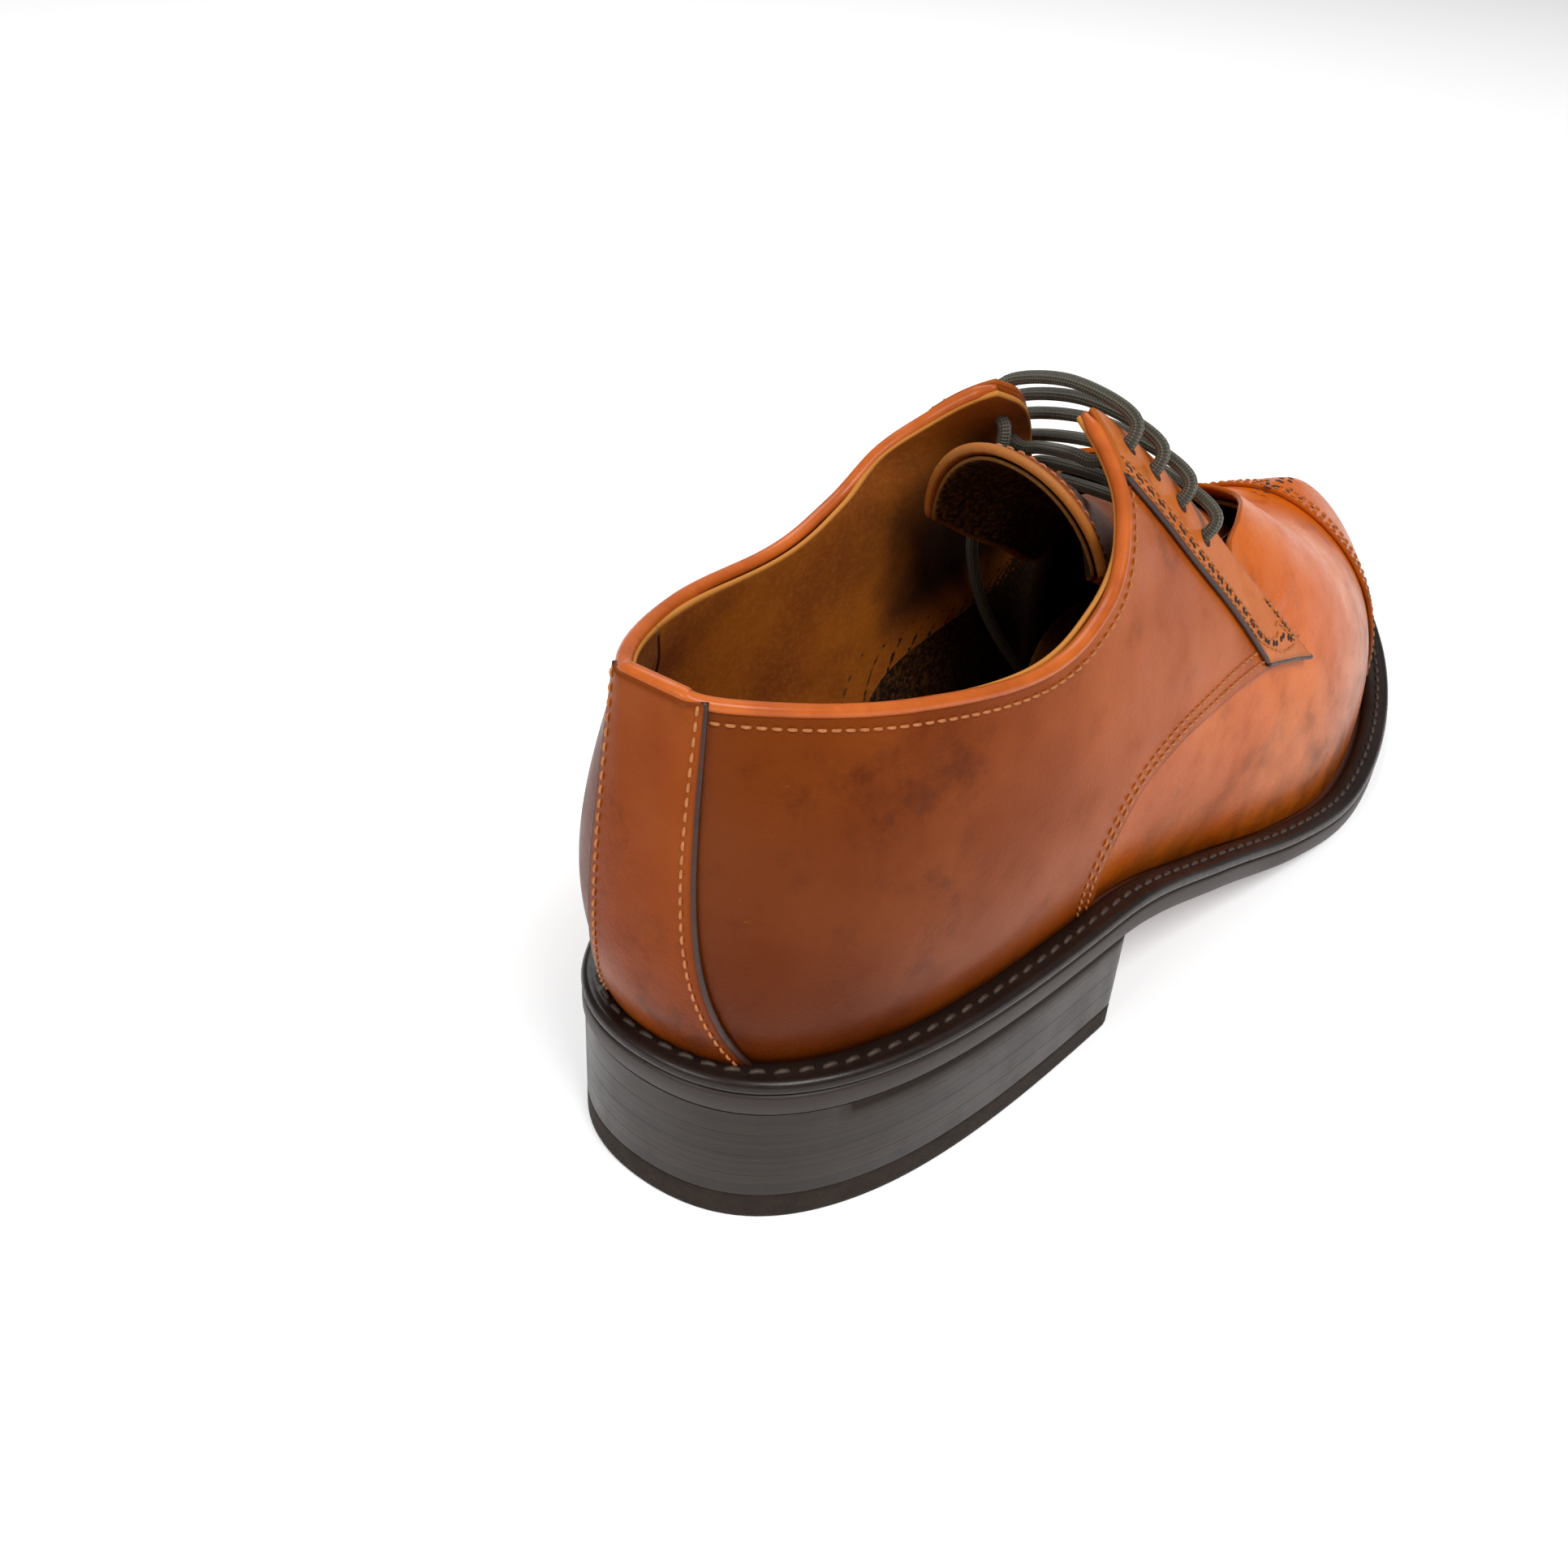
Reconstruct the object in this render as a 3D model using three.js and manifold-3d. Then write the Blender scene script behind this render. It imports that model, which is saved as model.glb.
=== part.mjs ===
// Right shoe of a pair: a leather derby (open lacing) with a straight toe cap, a heel strip,
// a stitched welt all round, a leather outsole and a stacked leather heel.
// Millimetres. +X to the toe, +Y to the inner (medial) side, +Z up, ground at z = 0.
import * as THREE from 'three';
import Module from 'manifold-3d';
import { mergeVertices } from 'three/addons/utils/BufferGeometryUtils.js';

const wasm = await Module();
wasm.setup();

// ---------------------------------------------------------------- sole and heel
const outsoleThick = 4.7;
const weltThick = 2.6;
const weltLine = 0.06;           // height on the last where the welt meets the upper
const weltMargin = 6.6;          // from the sole's edge in to the upper's feather line
const insoleThick = 2.2;
const corkThick = 1.6;
const shankThick = 1.2;
const shankWidth = 13;
const shankEnds = [-100, -18];
const sockThick = 1.0;
const padThick = 3.4;
const padEnd = 3.6;              // front of the heel pad, in stations
const sockStart = 3.65;          // the sock begins just ahead of it
const corkEnds = [4.6, 9.3];     // back and front of the cork, in stations
const boardClearance = 0.8;      // insole board to the lining
const sockInset = 0.5;           // sock and pad stand in from the board's edge
const padInset = 1;
const topPieceThick = 6.0;
const liftCount = 4;
const heelInset = 0.4;           // the heel stands in from the sole's edge
const breastX = -57;             // heel front at its edges
const breastHollow = 7;          // how far the breast curves back at its middle
const nailDiameter = 2.4;
const nailHold = 2;              // how far a nail goes into the sole
const nailSpots = [[-136, 4], [-118, -20], [-118, 26], [-86, -24], [-86, 26]];
const gap = 0.3;                 // clearance between touching pieces
const solePoints = 96;           // points round the sole's outline

// ---------------------------------------------------------------- upper
const leatherThick = 1.2;
const liningThick = 1.0;
const eyeletDiameter = 4.8;
const liningHoleDiameter = 6.4;  // the lining's holes are wider, as the lace turns under them
const facingInset = 0.4;         // the facing stands in from the quarter's edge
const liningInset = 0.3;         // so does the lining
const laceDiameter = 2.6;
const agletLength = 14;
const agletDiameter = 3.0;
const tongueThick = 2.0;
const tongueLiningThick = 0.9;
const tongueLiningTrim = 0.02;   // share of the tongue that its lining leaves bare at each edge
const columns = 60;              // grid columns round the last
const rows = 11;                 // grid rows from the feather line to the ridge

// Layers, as [inner, outer] distances from the last surface, outwards positive.
const outerLayer = [-leatherThick, 0];
const middleLayer = [outerLayer[0] - gap - leatherThick, outerLayer[0] - gap];
const liningLayer = [middleLayer[0] - gap - liningThick, middleLayer[0] - gap];
const trimLayer = [gap, gap + leatherThick];

// ---------------------------------------------------------------- last
// Sole outline: control points of a closed curve, heel back first, then the outer side
// to the toe and the inner side back.
const soleOutline = [
  [-154, 3], [-148, -19], [-121, -34.5], [-77, -41], [-34, -44],
  [3, -50], [41, -56.5], [78, -51.5], [112, -40], [142, -20.5],
  [156, 1], [147.5, 22], [118, 43], [86, 57], [50, 53],
  [10.5, 34.5], [-29, 25], [-74, 31.5], [-118, 39], [-149, 27],
];
// Underside of the outsole: height over x, flat at the ball, lifted at the heel and toe.
const soleProfile = [
  [-170, 26.8], [-152, 26.6], [-112, 25.9], [-62, 24.9], [-20, 14.5],
  [15, 5.0], [50, 0], [85, 0.8], [120, 4.6], [152, 11.2], [172, 14],
];
// Six stations from heel back to toe tip. Each holds the rib's top [x, y, z], how far the
// two sides stand apart there, and four handles [share of the way in, bulge, share of height].
const stations = [
  { top: [-159, 9, 114], apart: 0, ribs: [[0, 8, 0.17], [0, 14.5, 0.40], [0.25, 7, 0.62], [0.8, 1, 0.86]] },
  { top: [-118, 2.5, 115], apart: 23, ribs: [[0, 5.5, .18], [0, 8.5, .4], [.3, 3, .62], [.8, 0, .86]] },
  { top: [-66, 6, 120], apart: 38, ribs: [[0, 3, .2], [.05, 3.5, .42], [.4, 2, .66], [.83, 0, .88]] },
  { top: [-28, 0, 127], apart: -18, ribs: [[0, 1.5, 0.16], [0.05, 3, 0.42], [0.46, 5, 0.74], [0.86, 0, 0.96]] },
  { top: [56, 1, 58], apart: 0, ribs: [[0, 0.5, 0.27], [0.09, 2, 0.58], [0.46, 2, 0.82], [0.78, 0, 0.89]] },
  { top: [123, 3, 52.5], apart: 0, ribs: [[0, 2, 0.30], [0.03, 4, 0.62], [0.36, 3.3, 0.97], [0.7, 0, 1.01]] },
];
const ridgeClosing = 0.7;        // the two sides meet where their distance falls under this

// ---------------------------------------------------------------- leather patterns
// Points are [station, height]: station 0 at the heel back to 10 at the toe tip, height 0 at
// the feather line to 1 at the rib's top.
const toplinePattern = [
  [0, 0.845], [1, 0.812], [2, 0.752], [2.9, 0.695], [3.5, 0.725], [4.05, 0.8], [4.55, 0.86], [5.05, 0.955],
];
const frontSeamPattern = [
  [3.3, 0], [3.25, 0.15], [3.45, 0.285], [3.9, 0.355], [4.5, 0.385], [5.1, 0.395], [5.68, 0.38],
];
const facingFrontPattern = [
  [5.68, 0.38], [5.5, 0.46], [5.33, 0.58], [5.3, 0.7], [5.3, 0.8], [5.22, 0.9], [5.05, 0.955],
];
const facingRearPattern = [[4.55, 0.86], [4.66, 0.74], [4.75, 0.64], [4.92, 0.53], [5.1, 0.41]];
const capSeamX = 100;
const capSeamBow = -3;
const stripTopHalf = 0.42;       // half width of the heel strip at the topline, in stations
const stripFootFlare = 0.5;      // how much wider it is at its foot
const seamLap = 9;               // how far the under leather runs past a seam
const vampRearPattern = [
  [2.9, -0.1], [2.9, 0.2], [3.15, 0.38], [3.8, 0.45], [4.6, 0.48],
  [5.1, 0.52], [5.5, 0.6], [6.1, 0.66], [6.9, 0.77], [7.6, 1.02],
];
const counterPattern = [[-0.2, -0.1], [2.72, -0.1], [2.55, 0.3], [1.6, 0.56], [0.8, 0.64], [-0.2, 0.68]];
const gripFront = [1.5, 2.1];    // heel grip's front edge: its station at the topline and at the foot
const eyeletSpots = [[5.03, 0.845], [5.08, 0.78], [5.09, 0.715], [5.08, 0.65]];
const mmPerStation = 30;         // size of one station along the last's side
const mmPerHeight = 95;          // length of a rib

// ---------------------------------------------------------------- tongue and lace
// Sections of the tongue from its sewn base to its tip:
// [x, height, half width outside, half width inside, drop of its edges].
const tongueSections = [
  [40, 70.5, 14, 12, 5], [26, 77, 17, 13, 9], [10, 82.5, 19, 14, 14], [-4, 87, 19, 14, 18],
  [-20, 92.3, 16, 11, 22], [-36, 102.8, 15, 10.5, 24], [-48, 110, 20, 15, 25], [-58, 115, 23, 18, 25],
];
const tongueMiddle = 2;          // y of its middle line
const tongueLean = 8;            // its tip's edges stand ahead of its middle by this
const tongueArch = 1.4;          // how far round the arch goes each side, in radians
const tongueAlong = 14;          // grid steps along and across the tongue
const tongueAcross = 12;
// The lace's way through an eyelet: [towards the throat, out of the leather] from the hole's
// middle. It arches high over the outer facing's edge and lies low over the inner one's.
const overOuter = [[0.1, 1.2], [3.0, 5.75]];
const overInner = [[4.6, 5.3], [1.8, 4.75], [0, 1.6]];
const under = [[1.8, -4.7], [4.6, -6.6]];
const underEnd = [[0.65, -2.95]];
const barRise = 0.13;            // how far a bar bows up over the gap, as a share of its span
const laceSteps = 170;
const laceSides = 8;
// Ends of the lace inside the shoe, out from the first and the last eyelet to the aglets.
const outerTail = [
  [-14.5, -18.5, 84.5], [-7, -20, 79], [2, -26, 66], [10, -30, 52], [17, -32, 38],
  [27, -31, 21], [42, -26, 13.6], [66, -17, 12.3], [92, -9, 13.9],
];
const innerTail = [
  [-37.5, 12.5, 101.5], [-37.5, 14, 95], [-36, 16.3, 87], [-30, 19, 76], [-20, 20, 60],
  [-5, 20, 42], [12, 20, 26], [30, 19, 16], [50, 15, 12.6], [72, 11, 12.6], [92, 9, 13.9],
];

// ---------------------------------------------------------------- curves
// Uniform cubic B-spline through a closed ring of control values.
function ring(values, t) {
  const n = values.length;
  const i = Math.floor(t);
  const f = t - i;
  const weights = [(1 - f) ** 3, 3 * f ** 3 - 6 * f ** 2 + 4, -3 * f ** 3 + 3 * f ** 2 + 3 * f + 1, f ** 3];
  const at = (k) => values[(i - 1 + k + n) % n];
  if (typeof values[0] === 'number') return weights.reduce((sum, w, k) => sum + (w * at(k)) / 6, 0);
  return values[0].map((_, axis) => weights.reduce((sum, w, k) => sum + (w * at(k)[axis]) / 6, 0));
}

// A list for heel back to toe tip, continued down the other side back to the heel.
function bothSides(list) {
  return [...list, ...list.slice(1, -1).reverse()];
}

// Height of the outsole's underside at x: a cubic through the profile that adds no bumps.
function undersideAt(x) {
  const p = soleProfile;
  const slope = (k) => (p[k + 1][1] - p[k][1]) / (p[k + 1][0] - p[k][0]);
  const tangent = (k) => {
    if (k === 0) return slope(0);
    if (k === p.length - 1) return slope(k - 1);
    const [a, b] = [slope(k - 1), slope(k)];
    return a * b <= 0 ? 0 : (2 * a * b) / (a + b);
  };
  let k = 0;
  while (k < p.length - 2 && x > p[k + 1][0]) k += 1;
  const width = p[k + 1][0] - p[k][0];
  const f = (x - p[k][0]) / width;
  return (1 + 2 * f) * (1 - f) ** 2 * p[k][1] + f * (1 - f) ** 2 * width * tangent(k)
    + f * f * (3 - 2 * f) * p[k + 1][1] + f * f * (f - 1) * width * tangent(k + 1);
}

// Point of the sole's outline at t (0 to 20), moved inwards by inset, and its outward normal.
function outlineAt(t, inset) {
  const [x, y] = ring(soleOutline, t);
  const ahead = ring(soleOutline, t + 0.001);
  const [dx, dy] = [ahead[0] - x, ahead[1] - y];
  const length = Math.hypot(dx, dy);
  const normal = [dy / length, -dx / length];
  return { x: x - normal[0] * inset, y: y - normal[1] * inset, normal };
}

// ---------------------------------------------------------------- last surface
const topX = bothSides(stations.map((s) => s.top[0]));
const topY = bothSides(stations.map((s) => s.top[1]));
const topZ = bothSides(stations.map((s) => s.top[2]));
const topApart = bothSides(stations.map((s) => s.apart));
const ribHandles = bothSides(stations.map((s) => s.ribs.flat()));
const binomial = [1, 5, 10, 10, 5, 1];

// The rib at t is a five-degree Bezier curve from the feather line up to the ridge or cone.
function lastPoint(t, v) {
  const foot = outlineAt(t, weltMargin);
  const footZ = undersideAt(foot.x) + outsoleThick + gap;
  const side = t <= 10 ? -1 : 1;
  const half = Math.max(0, ring(topApart, t / 2) - ridgeClosing);
  const top = [ring(topX, t / 2), ring(topY, t / 2) + side * half, ring(topZ, t / 2)];
  const handles = ring(ribHandles, t / 2);
  const points = [[foot.x, foot.y, footZ]];
  for (let k = 0; k < 4; k += 1) {
    const [share, bulge, rise] = handles.slice(3 * k, 3 * k + 3);
    points.push([
      foot.x + (top[0] - foot.x) * share + foot.normal[0] * bulge,
      foot.y + (top[1] - foot.y) * share + foot.normal[1] * bulge,
      footZ + (top[2] - footZ) * rise,
    ]);
  }
  points.push(top);
  const out = [0, 0, 0];
  points.forEach((p, k) => {
    const w = binomial[k] * v ** k * (1 - v) ** (5 - k);
    out.forEach((_, axis) => { out[axis] += w * p[axis]; });
  });
  return new THREE.Vector3(...out);
}

// Grid of the last: corner records with place, outward normal, station, height and side.
function buildLast() {
  const half = columns / 2;
  const name = (i, j) => {
    const column = i % columns;
    const t = (column * 20) / columns;
    const joined = j === rows && Math.abs(t - 10) <= 3;
    return `${joined && column > half ? columns - column : column}/${j}`;
  };
  const corners = new Map();
  for (let i = 0; i < columns; i += 1) {
    for (let j = 0; j <= rows; j += 1) {
      const key = name(i, j);
      if (!corners.has(key)) {
        const p = lastPoint((i * 20) / columns, j / rows);
        if (j === rows && key.startsWith(`${i}/`) && Math.abs((i * 20) / columns - 10) <= 3) {
          const twin = lastPoint(((columns - i) * 20) / columns, 1);
          p.add(twin).multiplyScalar(0.5);
        }
        corners.set(key, { key, p, n: new THREE.Vector3() });
      }
    }
  }
  const triangles = [];
  for (let i = 0; i < columns; i += 1) {
    for (let j = 0; j < rows; j += 1) {
      const quad = [[i, j], [i + 1, j], [i + 1, j + 1], [i, j + 1]];
      const flip = i >= half;
      const order = flip ? [[1, 2, 3], [1, 3, 0]] : [[0, 1, 2], [0, 2, 3]];
      for (const three of order) {
        triangles.push(three.map((q) => {
          const [a, b] = quad[q];
          const t = (a * 20) / columns;
          return {
            ...corners.get(name(a, b)),
            station: flip ? 20 - t : t,
            height: b / rows,
            side: flip ? 1 : -1,
          };
        }));
      }
    }
  }
  const normal = new THREE.Vector3();
  for (const tri of triangles) {
    const edge = new THREE.Vector3().subVectors(tri[1].p, tri[0].p);
    normal.subVectors(tri[2].p, tri[0].p);
    normal.crossVectors(edge, normal);
    for (const corner of tri) corner.n.add(normal);
  }
  for (const corner of corners.values()) corner.n.normalize();
  return triangles;
}

const lastTriangles = buildLast();

// ---------------------------------------------------------------- cutting leather
// Part of a polygon of corner records where keep(corner) >= 0.
function clip(polygon, keep, label) {
  const out = [];
  polygon.forEach((a, i) => {
    const b = polygon[(i + 1) % polygon.length];
    const [ka, kb] = [keep(a), keep(b)];
    if (ka >= 0) out.push(a);
    if ((ka >= 0) !== (kb >= 0)) {
      const [p, q, kp, kq] = a.key < b.key ? [a, b, ka, kb] : [b, a, kb, ka];
      const f = Math.min(0.98, Math.max(0.02, kp / (kp - kq)));
      out.push({
        key: `${label}(${p.key}|${q.key})`,
        p: p.p.clone().lerp(q.p, f),
        n: p.n.clone().lerp(q.n, f),
        station: p.station + (q.station - p.station) * f,
        height: p.height + (q.height - p.height) * f,
        side: p.side,
      });
    }
  });
  return out;
}

// A closed solid: the region of the last where every keep function is positive, between two
// distances from the last surface.
function leather(keeps, [inner, outer]) {
  const faces = [];
  for (const tri of lastTriangles) {
    let polygon = tri;
    keeps.forEach((keep, k) => { if (polygon.length) polygon = clip(polygon, keep, k); });
    for (let k = 1; k + 1 < polygon.length; k += 1) {
      const face = [polygon[0], polygon[k], polygon[k + 1]];
      if (new Set(face.map((c) => c.key)).size === 3) faces.push(face);
    }
  }
  return thicken(faces, inner, outer);
}

function thicken(faces, inner, outer) {
  const index = new Map();
  const place = [];
  const id = (corner, level) => {
    const key = `${corner.key}@${level}`;
    if (!index.has(key)) {
      index.set(key, place.length / 3);
      const p = corner.p.clone().addScaledVector(corner.n, level === 1 ? outer : inner);
      place.push(p.x, p.y, p.z);
    }
    return index.get(key);
  };
  const edges = new Map();
  const triangles = [];
  for (const [a, b, c] of faces) {
    triangles.push(id(a, 1), id(b, 1), id(c, 1), id(a, 0), id(c, 0), id(b, 0));
    for (const [p, q] of [[a, b], [b, c], [c, a]]) {
      const back = `${q.key}>${p.key}`;
      if (edges.has(back)) edges.delete(back);
      else edges.set(`${p.key}>${q.key}`, [p, q]);
    }
  }
  for (const [p, q] of edges.values()) {
    triangles.push(id(p, 1), id(p, 0), id(q, 0), id(p, 1), id(q, 0), id(q, 1));
  }
  return indexed(place, triangles);
}

function indexed(place, triangles) {
  const geometry = new THREE.BufferGeometry();
  geometry.setAttribute('position', new THREE.Float32BufferAttribute(place, 3));
  geometry.setIndex(triangles);
  return geometry;
}

// ---------------------------------------------------------------- pattern outlines
function curve(points, steps = 6) {
  const spline = new THREE.SplineCurve(points.map(([s, h]) => new THREE.Vector2(s, h)));
  return spline.getPoints(steps * (points.length - 1)).map((p) => [p.x, p.y]);
}

// Signed distance in millimetres, positive inside a closed pattern outline.
function inside(outline, station, height) {
  const x = station * mmPerStation;
  const y = height * mmPerHeight;
  let nearest = Infinity;
  let within = false;
  outline.forEach(([s, h], i) => {
    const [s2, h2] = outline[(i + 1) % outline.length];
    const [ax, ay, bx, by] = [s * mmPerStation, h * mmPerHeight, s2 * mmPerStation, h2 * mmPerHeight];
    const [dx, dy] = [bx - ax, by - ay];
    const f = Math.max(0, Math.min(1, ((x - ax) * dx + (y - ay) * dy) / (dx * dx + dy * dy)));
    nearest = Math.min(nearest, Math.hypot(x - ax - f * dx, y - ay - f * dy));
    if ((ay > y) !== (by > y) && x < ax + ((y - ay) / (by - ay)) * dx) within = !within;
  });
  return within ? nearest : -nearest;
}

const frontEdge = curve(facingFrontPattern);
const quarterOutline = [
  [-1, -0.2], [3.3, -0.2], ...curve(frontSeamPattern), ...frontEdge.slice(1),
  ...curve(toplinePattern).reverse().slice(1), [-1, toplinePattern[0][1]],
];
const facingOutline = [...frontEdge, ...curve(facingRearPattern)];
const vampOutline = [...curve(vampRearPattern), [11, 1.3], [11, -0.2]];

const onSide = (side) => (c) => (c.side === side ? 1 : -1);
const inQuarter = (c) => inside(quarterOutline, c.station, c.height);
const inVamp = (c) => inside(vampOutline, c.station, c.height);
const fromHeelBack = (c) => c.station * mmPerStation - gap / 2;
const capSeam = (c) => c.p.x - capSeamX - capSeamBow * (c.p.y / 40) ** 2;
const weltTop = (c) => c.p.z - undersideAt(c.p.x) - outsoleThick - weltThick - 3 * gap;
const stripHalf = (height) => stripTopHalf + stripFootFlare * (1 - height) ** 4;
const gripEdge = (height) => gripFront[1] + (gripFront[0] - gripFront[1]) * (height / toplinePattern[0][1]);

// ---------------------------------------------------------------- materials
const tan = 0xb0582a;
const lightTan = 0xd07338;
const liningTan = 0x96551c;
const rubberBrown = 0x50402f;
const steel = 0x9a9a98;
const corkTan = 0x9b7148;
const canvas = 0xd8cdb8;
const darkBrown = 0x322622;
const natural = 0x8a4a28;
const olive = 0x5a5646;

function mesh(name, geometry, color, roughness = 0.45, metalness = 0) {
  const part = new THREE.Mesh(geometry, new THREE.MeshStandardMaterial({ color, roughness, metalness }));
  part.name = name;
  return part;
}

// ---------------------------------------------------------------- bottom
// A slab across the inset sole outline, from t = start to its mirror point on the other side.
function soleSlab(inset, low, high, start = 0, end = 10) {
  const steps = Math.round(((end - start) * solePoints) / 20);
  const left = [];
  const right = [];
  for (let k = 0; k <= steps; k += 1) {
    const t = start + ((end - start) * k) / steps;
    left.push(outlineAt(t, inset));
    right.push(outlineAt(20 - t, inset));
  }
  const closedHeel = start === 0;
  const closedToe = end === 10;
  const back = right.slice(closedHeel ? 1 : 0, closedToe ? -1 : undefined).reverse();
  const loop = [...left, ...back];
  const place = [];
  for (const level of [low, high]) {
    for (const p of loop) place.push(p.x, p.y, undersideAt(p.x) + level);
  }
  const n = loop.length;
  const triangles = [];
  for (let k = 0; k < n; k += 1) {
    const m = (k + 1) % n;
    triangles.push(k, m, n + m, k, n + m, n + k);
  }
  const mirror = (k) => (closedHeel ? (n - k) % n : n - 1 - k);
  const addCap = (a, b, c) => {
    if (a === b || b === c || a === c) return;
    triangles.push(a, c, b, n + a, n + b, n + c);
  };
  for (let k = 0; k < left.length - 1; k += 1) {
    addCap(k, k + 1, mirror(k + 1));
    addCap(k, mirror(k + 1), mirror(k));
  }
  return indexed(place, triangles);
}

// The welt: a ring on the outsole between the upper and the sole's edge.
function weltRing() {
  const place = [];
  const triangles = [];
  const low = outsoleThick + gap;
  const high = low + weltThick;
  for (let k = 0; k < solePoints; k += 1) {
    const t = (k * 20) / solePoints;
    const outer = outlineAt(t, 0);
    const wall = lastPoint(t, weltLine);
    const inner = { x: wall.x + outer.normal[0] * 2 * gap, y: wall.y + outer.normal[1] * 2 * gap };
    for (const [p, level] of [[outer, low], [outer, high], [inner, high], [inner, low]]) {
      place.push(p.x, p.y, undersideAt(p.x) + level);
    }
    const next = ((k + 1) % solePoints) * 4;
    for (let c = 0; c < 4; c += 1) {
      const d = (c + 1) % 4;
      triangles.push(4 * k + c, next + c, next + d, 4 * k + c, next + d, 4 * k + d);
    }
  }
  return indexed(place, triangles);
}

// Outline of the heel as a flat shape, with a hollow front edge and round nail holes.
function heelShape(holeDiameter) {
  const outline = [];
  const steps = 28;
  const breastT = (side) => {
    let [low, high] = [2, 5];
    for (let k = 0; k < 30; k += 1) {
      const middle = (low + high) / 2;
      if (outlineAt(side < 0 ? middle : 20 - middle, heelInset).x < breastX) low = middle;
      else high = middle;
    }
    return low;
  };
  const [outerT, innerT] = [breastT(-1), breastT(1)];
  for (let k = 0; k <= steps; k += 1) {
    const t = -innerT + ((outerT + innerT) * k) / steps;
    const p = outlineAt((t + 20) % 20, heelInset);
    outline.push(new THREE.Vector2(p.x, p.y));
  }
  const [first, last] = [outline[0], outline[outline.length - 1]];
  const breastSteps = 8;
  for (let k = 1; k < breastSteps; k += 1) {
    const f = k / breastSteps;
    const back = breastHollow * Math.sin(Math.PI * f);
    outline.push(new THREE.Vector2(last.x + (first.x - last.x) * f - back, last.y + (first.y - last.y) * f));
  }
  const shape = new THREE.Shape(outline);
  if (holeDiameter) {
    for (const [x, y] of nailSpots) {
      const hole = new THREE.Path();
      hole.absarc(x, y, holeDiameter / 2, 0, 2 * Math.PI, true);
      shape.holes.push(hole);
    }
  }
  return shape;
}

function heelLayer(low, high, holeDiameter) {
  const geometry = new THREE.ExtrudeGeometry(heelShape(holeDiameter), {
    depth: high - low, bevelEnabled: false, curveSegments: 5,
  });
  return geometry.translate(0, 0, low);
}

// ---------------------------------------------------------------- booleans
function solid(geometry) {
  const plain = geometry.clone();
  plain.deleteAttribute('normal');
  plain.deleteAttribute('uv');
  const merged = mergeVertices(plain, 1e-4);
  return new wasm.Manifold(new wasm.Mesh({
    numProp: 3,
    vertProperties: new Float32Array(merged.attributes.position.array),
    triVerts: new Uint32Array(merged.index.array),
  }));
}

function geometryOf(manifold) {
  const result = manifold.getMesh();
  return indexed(Array.from(result.vertProperties), Array.from(result.triVerts));
}

function cut(geometry, cutters) {
  return geometryOf(cutters.reduce((left, cutter) => left.subtract(solid(cutter)), solid(geometry)));
}

function upright(x, y, low, high, diameter, sides = 10) {
  const rod = new THREE.CylinderGeometry(diameter / 2, diameter / 2, high - low, sides);
  return rod.rotateX(Math.PI / 2).translate(x, y, (low + high) / 2);
}

// ---------------------------------------------------------------- tongue
// The tongue is an arched sheet: across it, a point goes round an elliptical arch.
function tonguePoint(u, w) {
  const places = tongueSections.map(([x, z, outer]) => new THREE.Vector3(x, z, outer));
  const insides = tongueSections.map(([, , , inner, drop]) => new THREE.Vector3(inner, drop, 0));
  const path = new THREE.CatmullRomCurve3(places);
  const sizes = new THREE.CatmullRomCurve3(insides);
  const middle = path.getPoint(u);
  const size = sizes.getPoint(u);
  const angle = w * tongueArch;
  const half = w < 0 ? middle.z : size.x;
  return new THREE.Vector3(
    middle.x + tongueLean * u ** 4 * (1 - Math.cos(angle)),
    tongueMiddle + half * Math.sin(angle),
    middle.y - size.y * (1 - Math.cos(angle)),
  );
}

function tongueLayer([inner, outer], trim) {
  const corner = (i, j) => {
    const u = trim + ((1 - 2 * trim) * i) / tongueAlong;
    const w = (1 - trim) * ((2 * j) / tongueAcross - 1);
    const p = tonguePoint(u, w);
    const along = tonguePoint(u + 0.001, w).sub(p);
    const across = tonguePoint(u, w + 0.001).sub(p);
    return { key: `${i}/${j}`, p, n: across.cross(along).normalize() };
  };
  const faces = [];
  for (let i = 0; i < tongueAlong; i += 1) {
    for (let j = 0; j < tongueAcross; j += 1) {
      const [a, b, c, d] = [corner(i, j), corner(i + 1, j), corner(i + 1, j + 1), corner(i, j + 1)];
      faces.push([a, c, b], [a, d, c]);
    }
  }
  return thicken(faces, inner, outer);
}

// ---------------------------------------------------------------- lace
// Middle of an eyelet on the last surface and the way out of it.
function eyelet(side, row) {
  const [station, height] = eyeletSpots[row];
  const t = side < 0 ? station : 20 - station;
  const p = lastPoint(t, height);
  const along = lastPoint(t + 0.01, height).sub(p);
  const up = lastPoint(t, height + 0.01).sub(p);
  return { p, n: along.cross(up).normalize() };
}

// Points of the lace at an eyelet, from its pairs of [towards the throat, out of the leather].
function throughEyelet(side, row, pairs) {
  const { p, n } = eyelet(side, row);
  const inwards = new THREE.Vector3(0, -side, 0);
  inwards.addScaledVector(n, -inwards.dot(n)).normalize();
  const middle = (trimLayer[1] + liningLayer[0]) / 2;
  return pairs.map(([across, out]) => (
    p.clone().addScaledVector(inwards, across).addScaledVector(n, middle + out)
  ));
}

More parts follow.
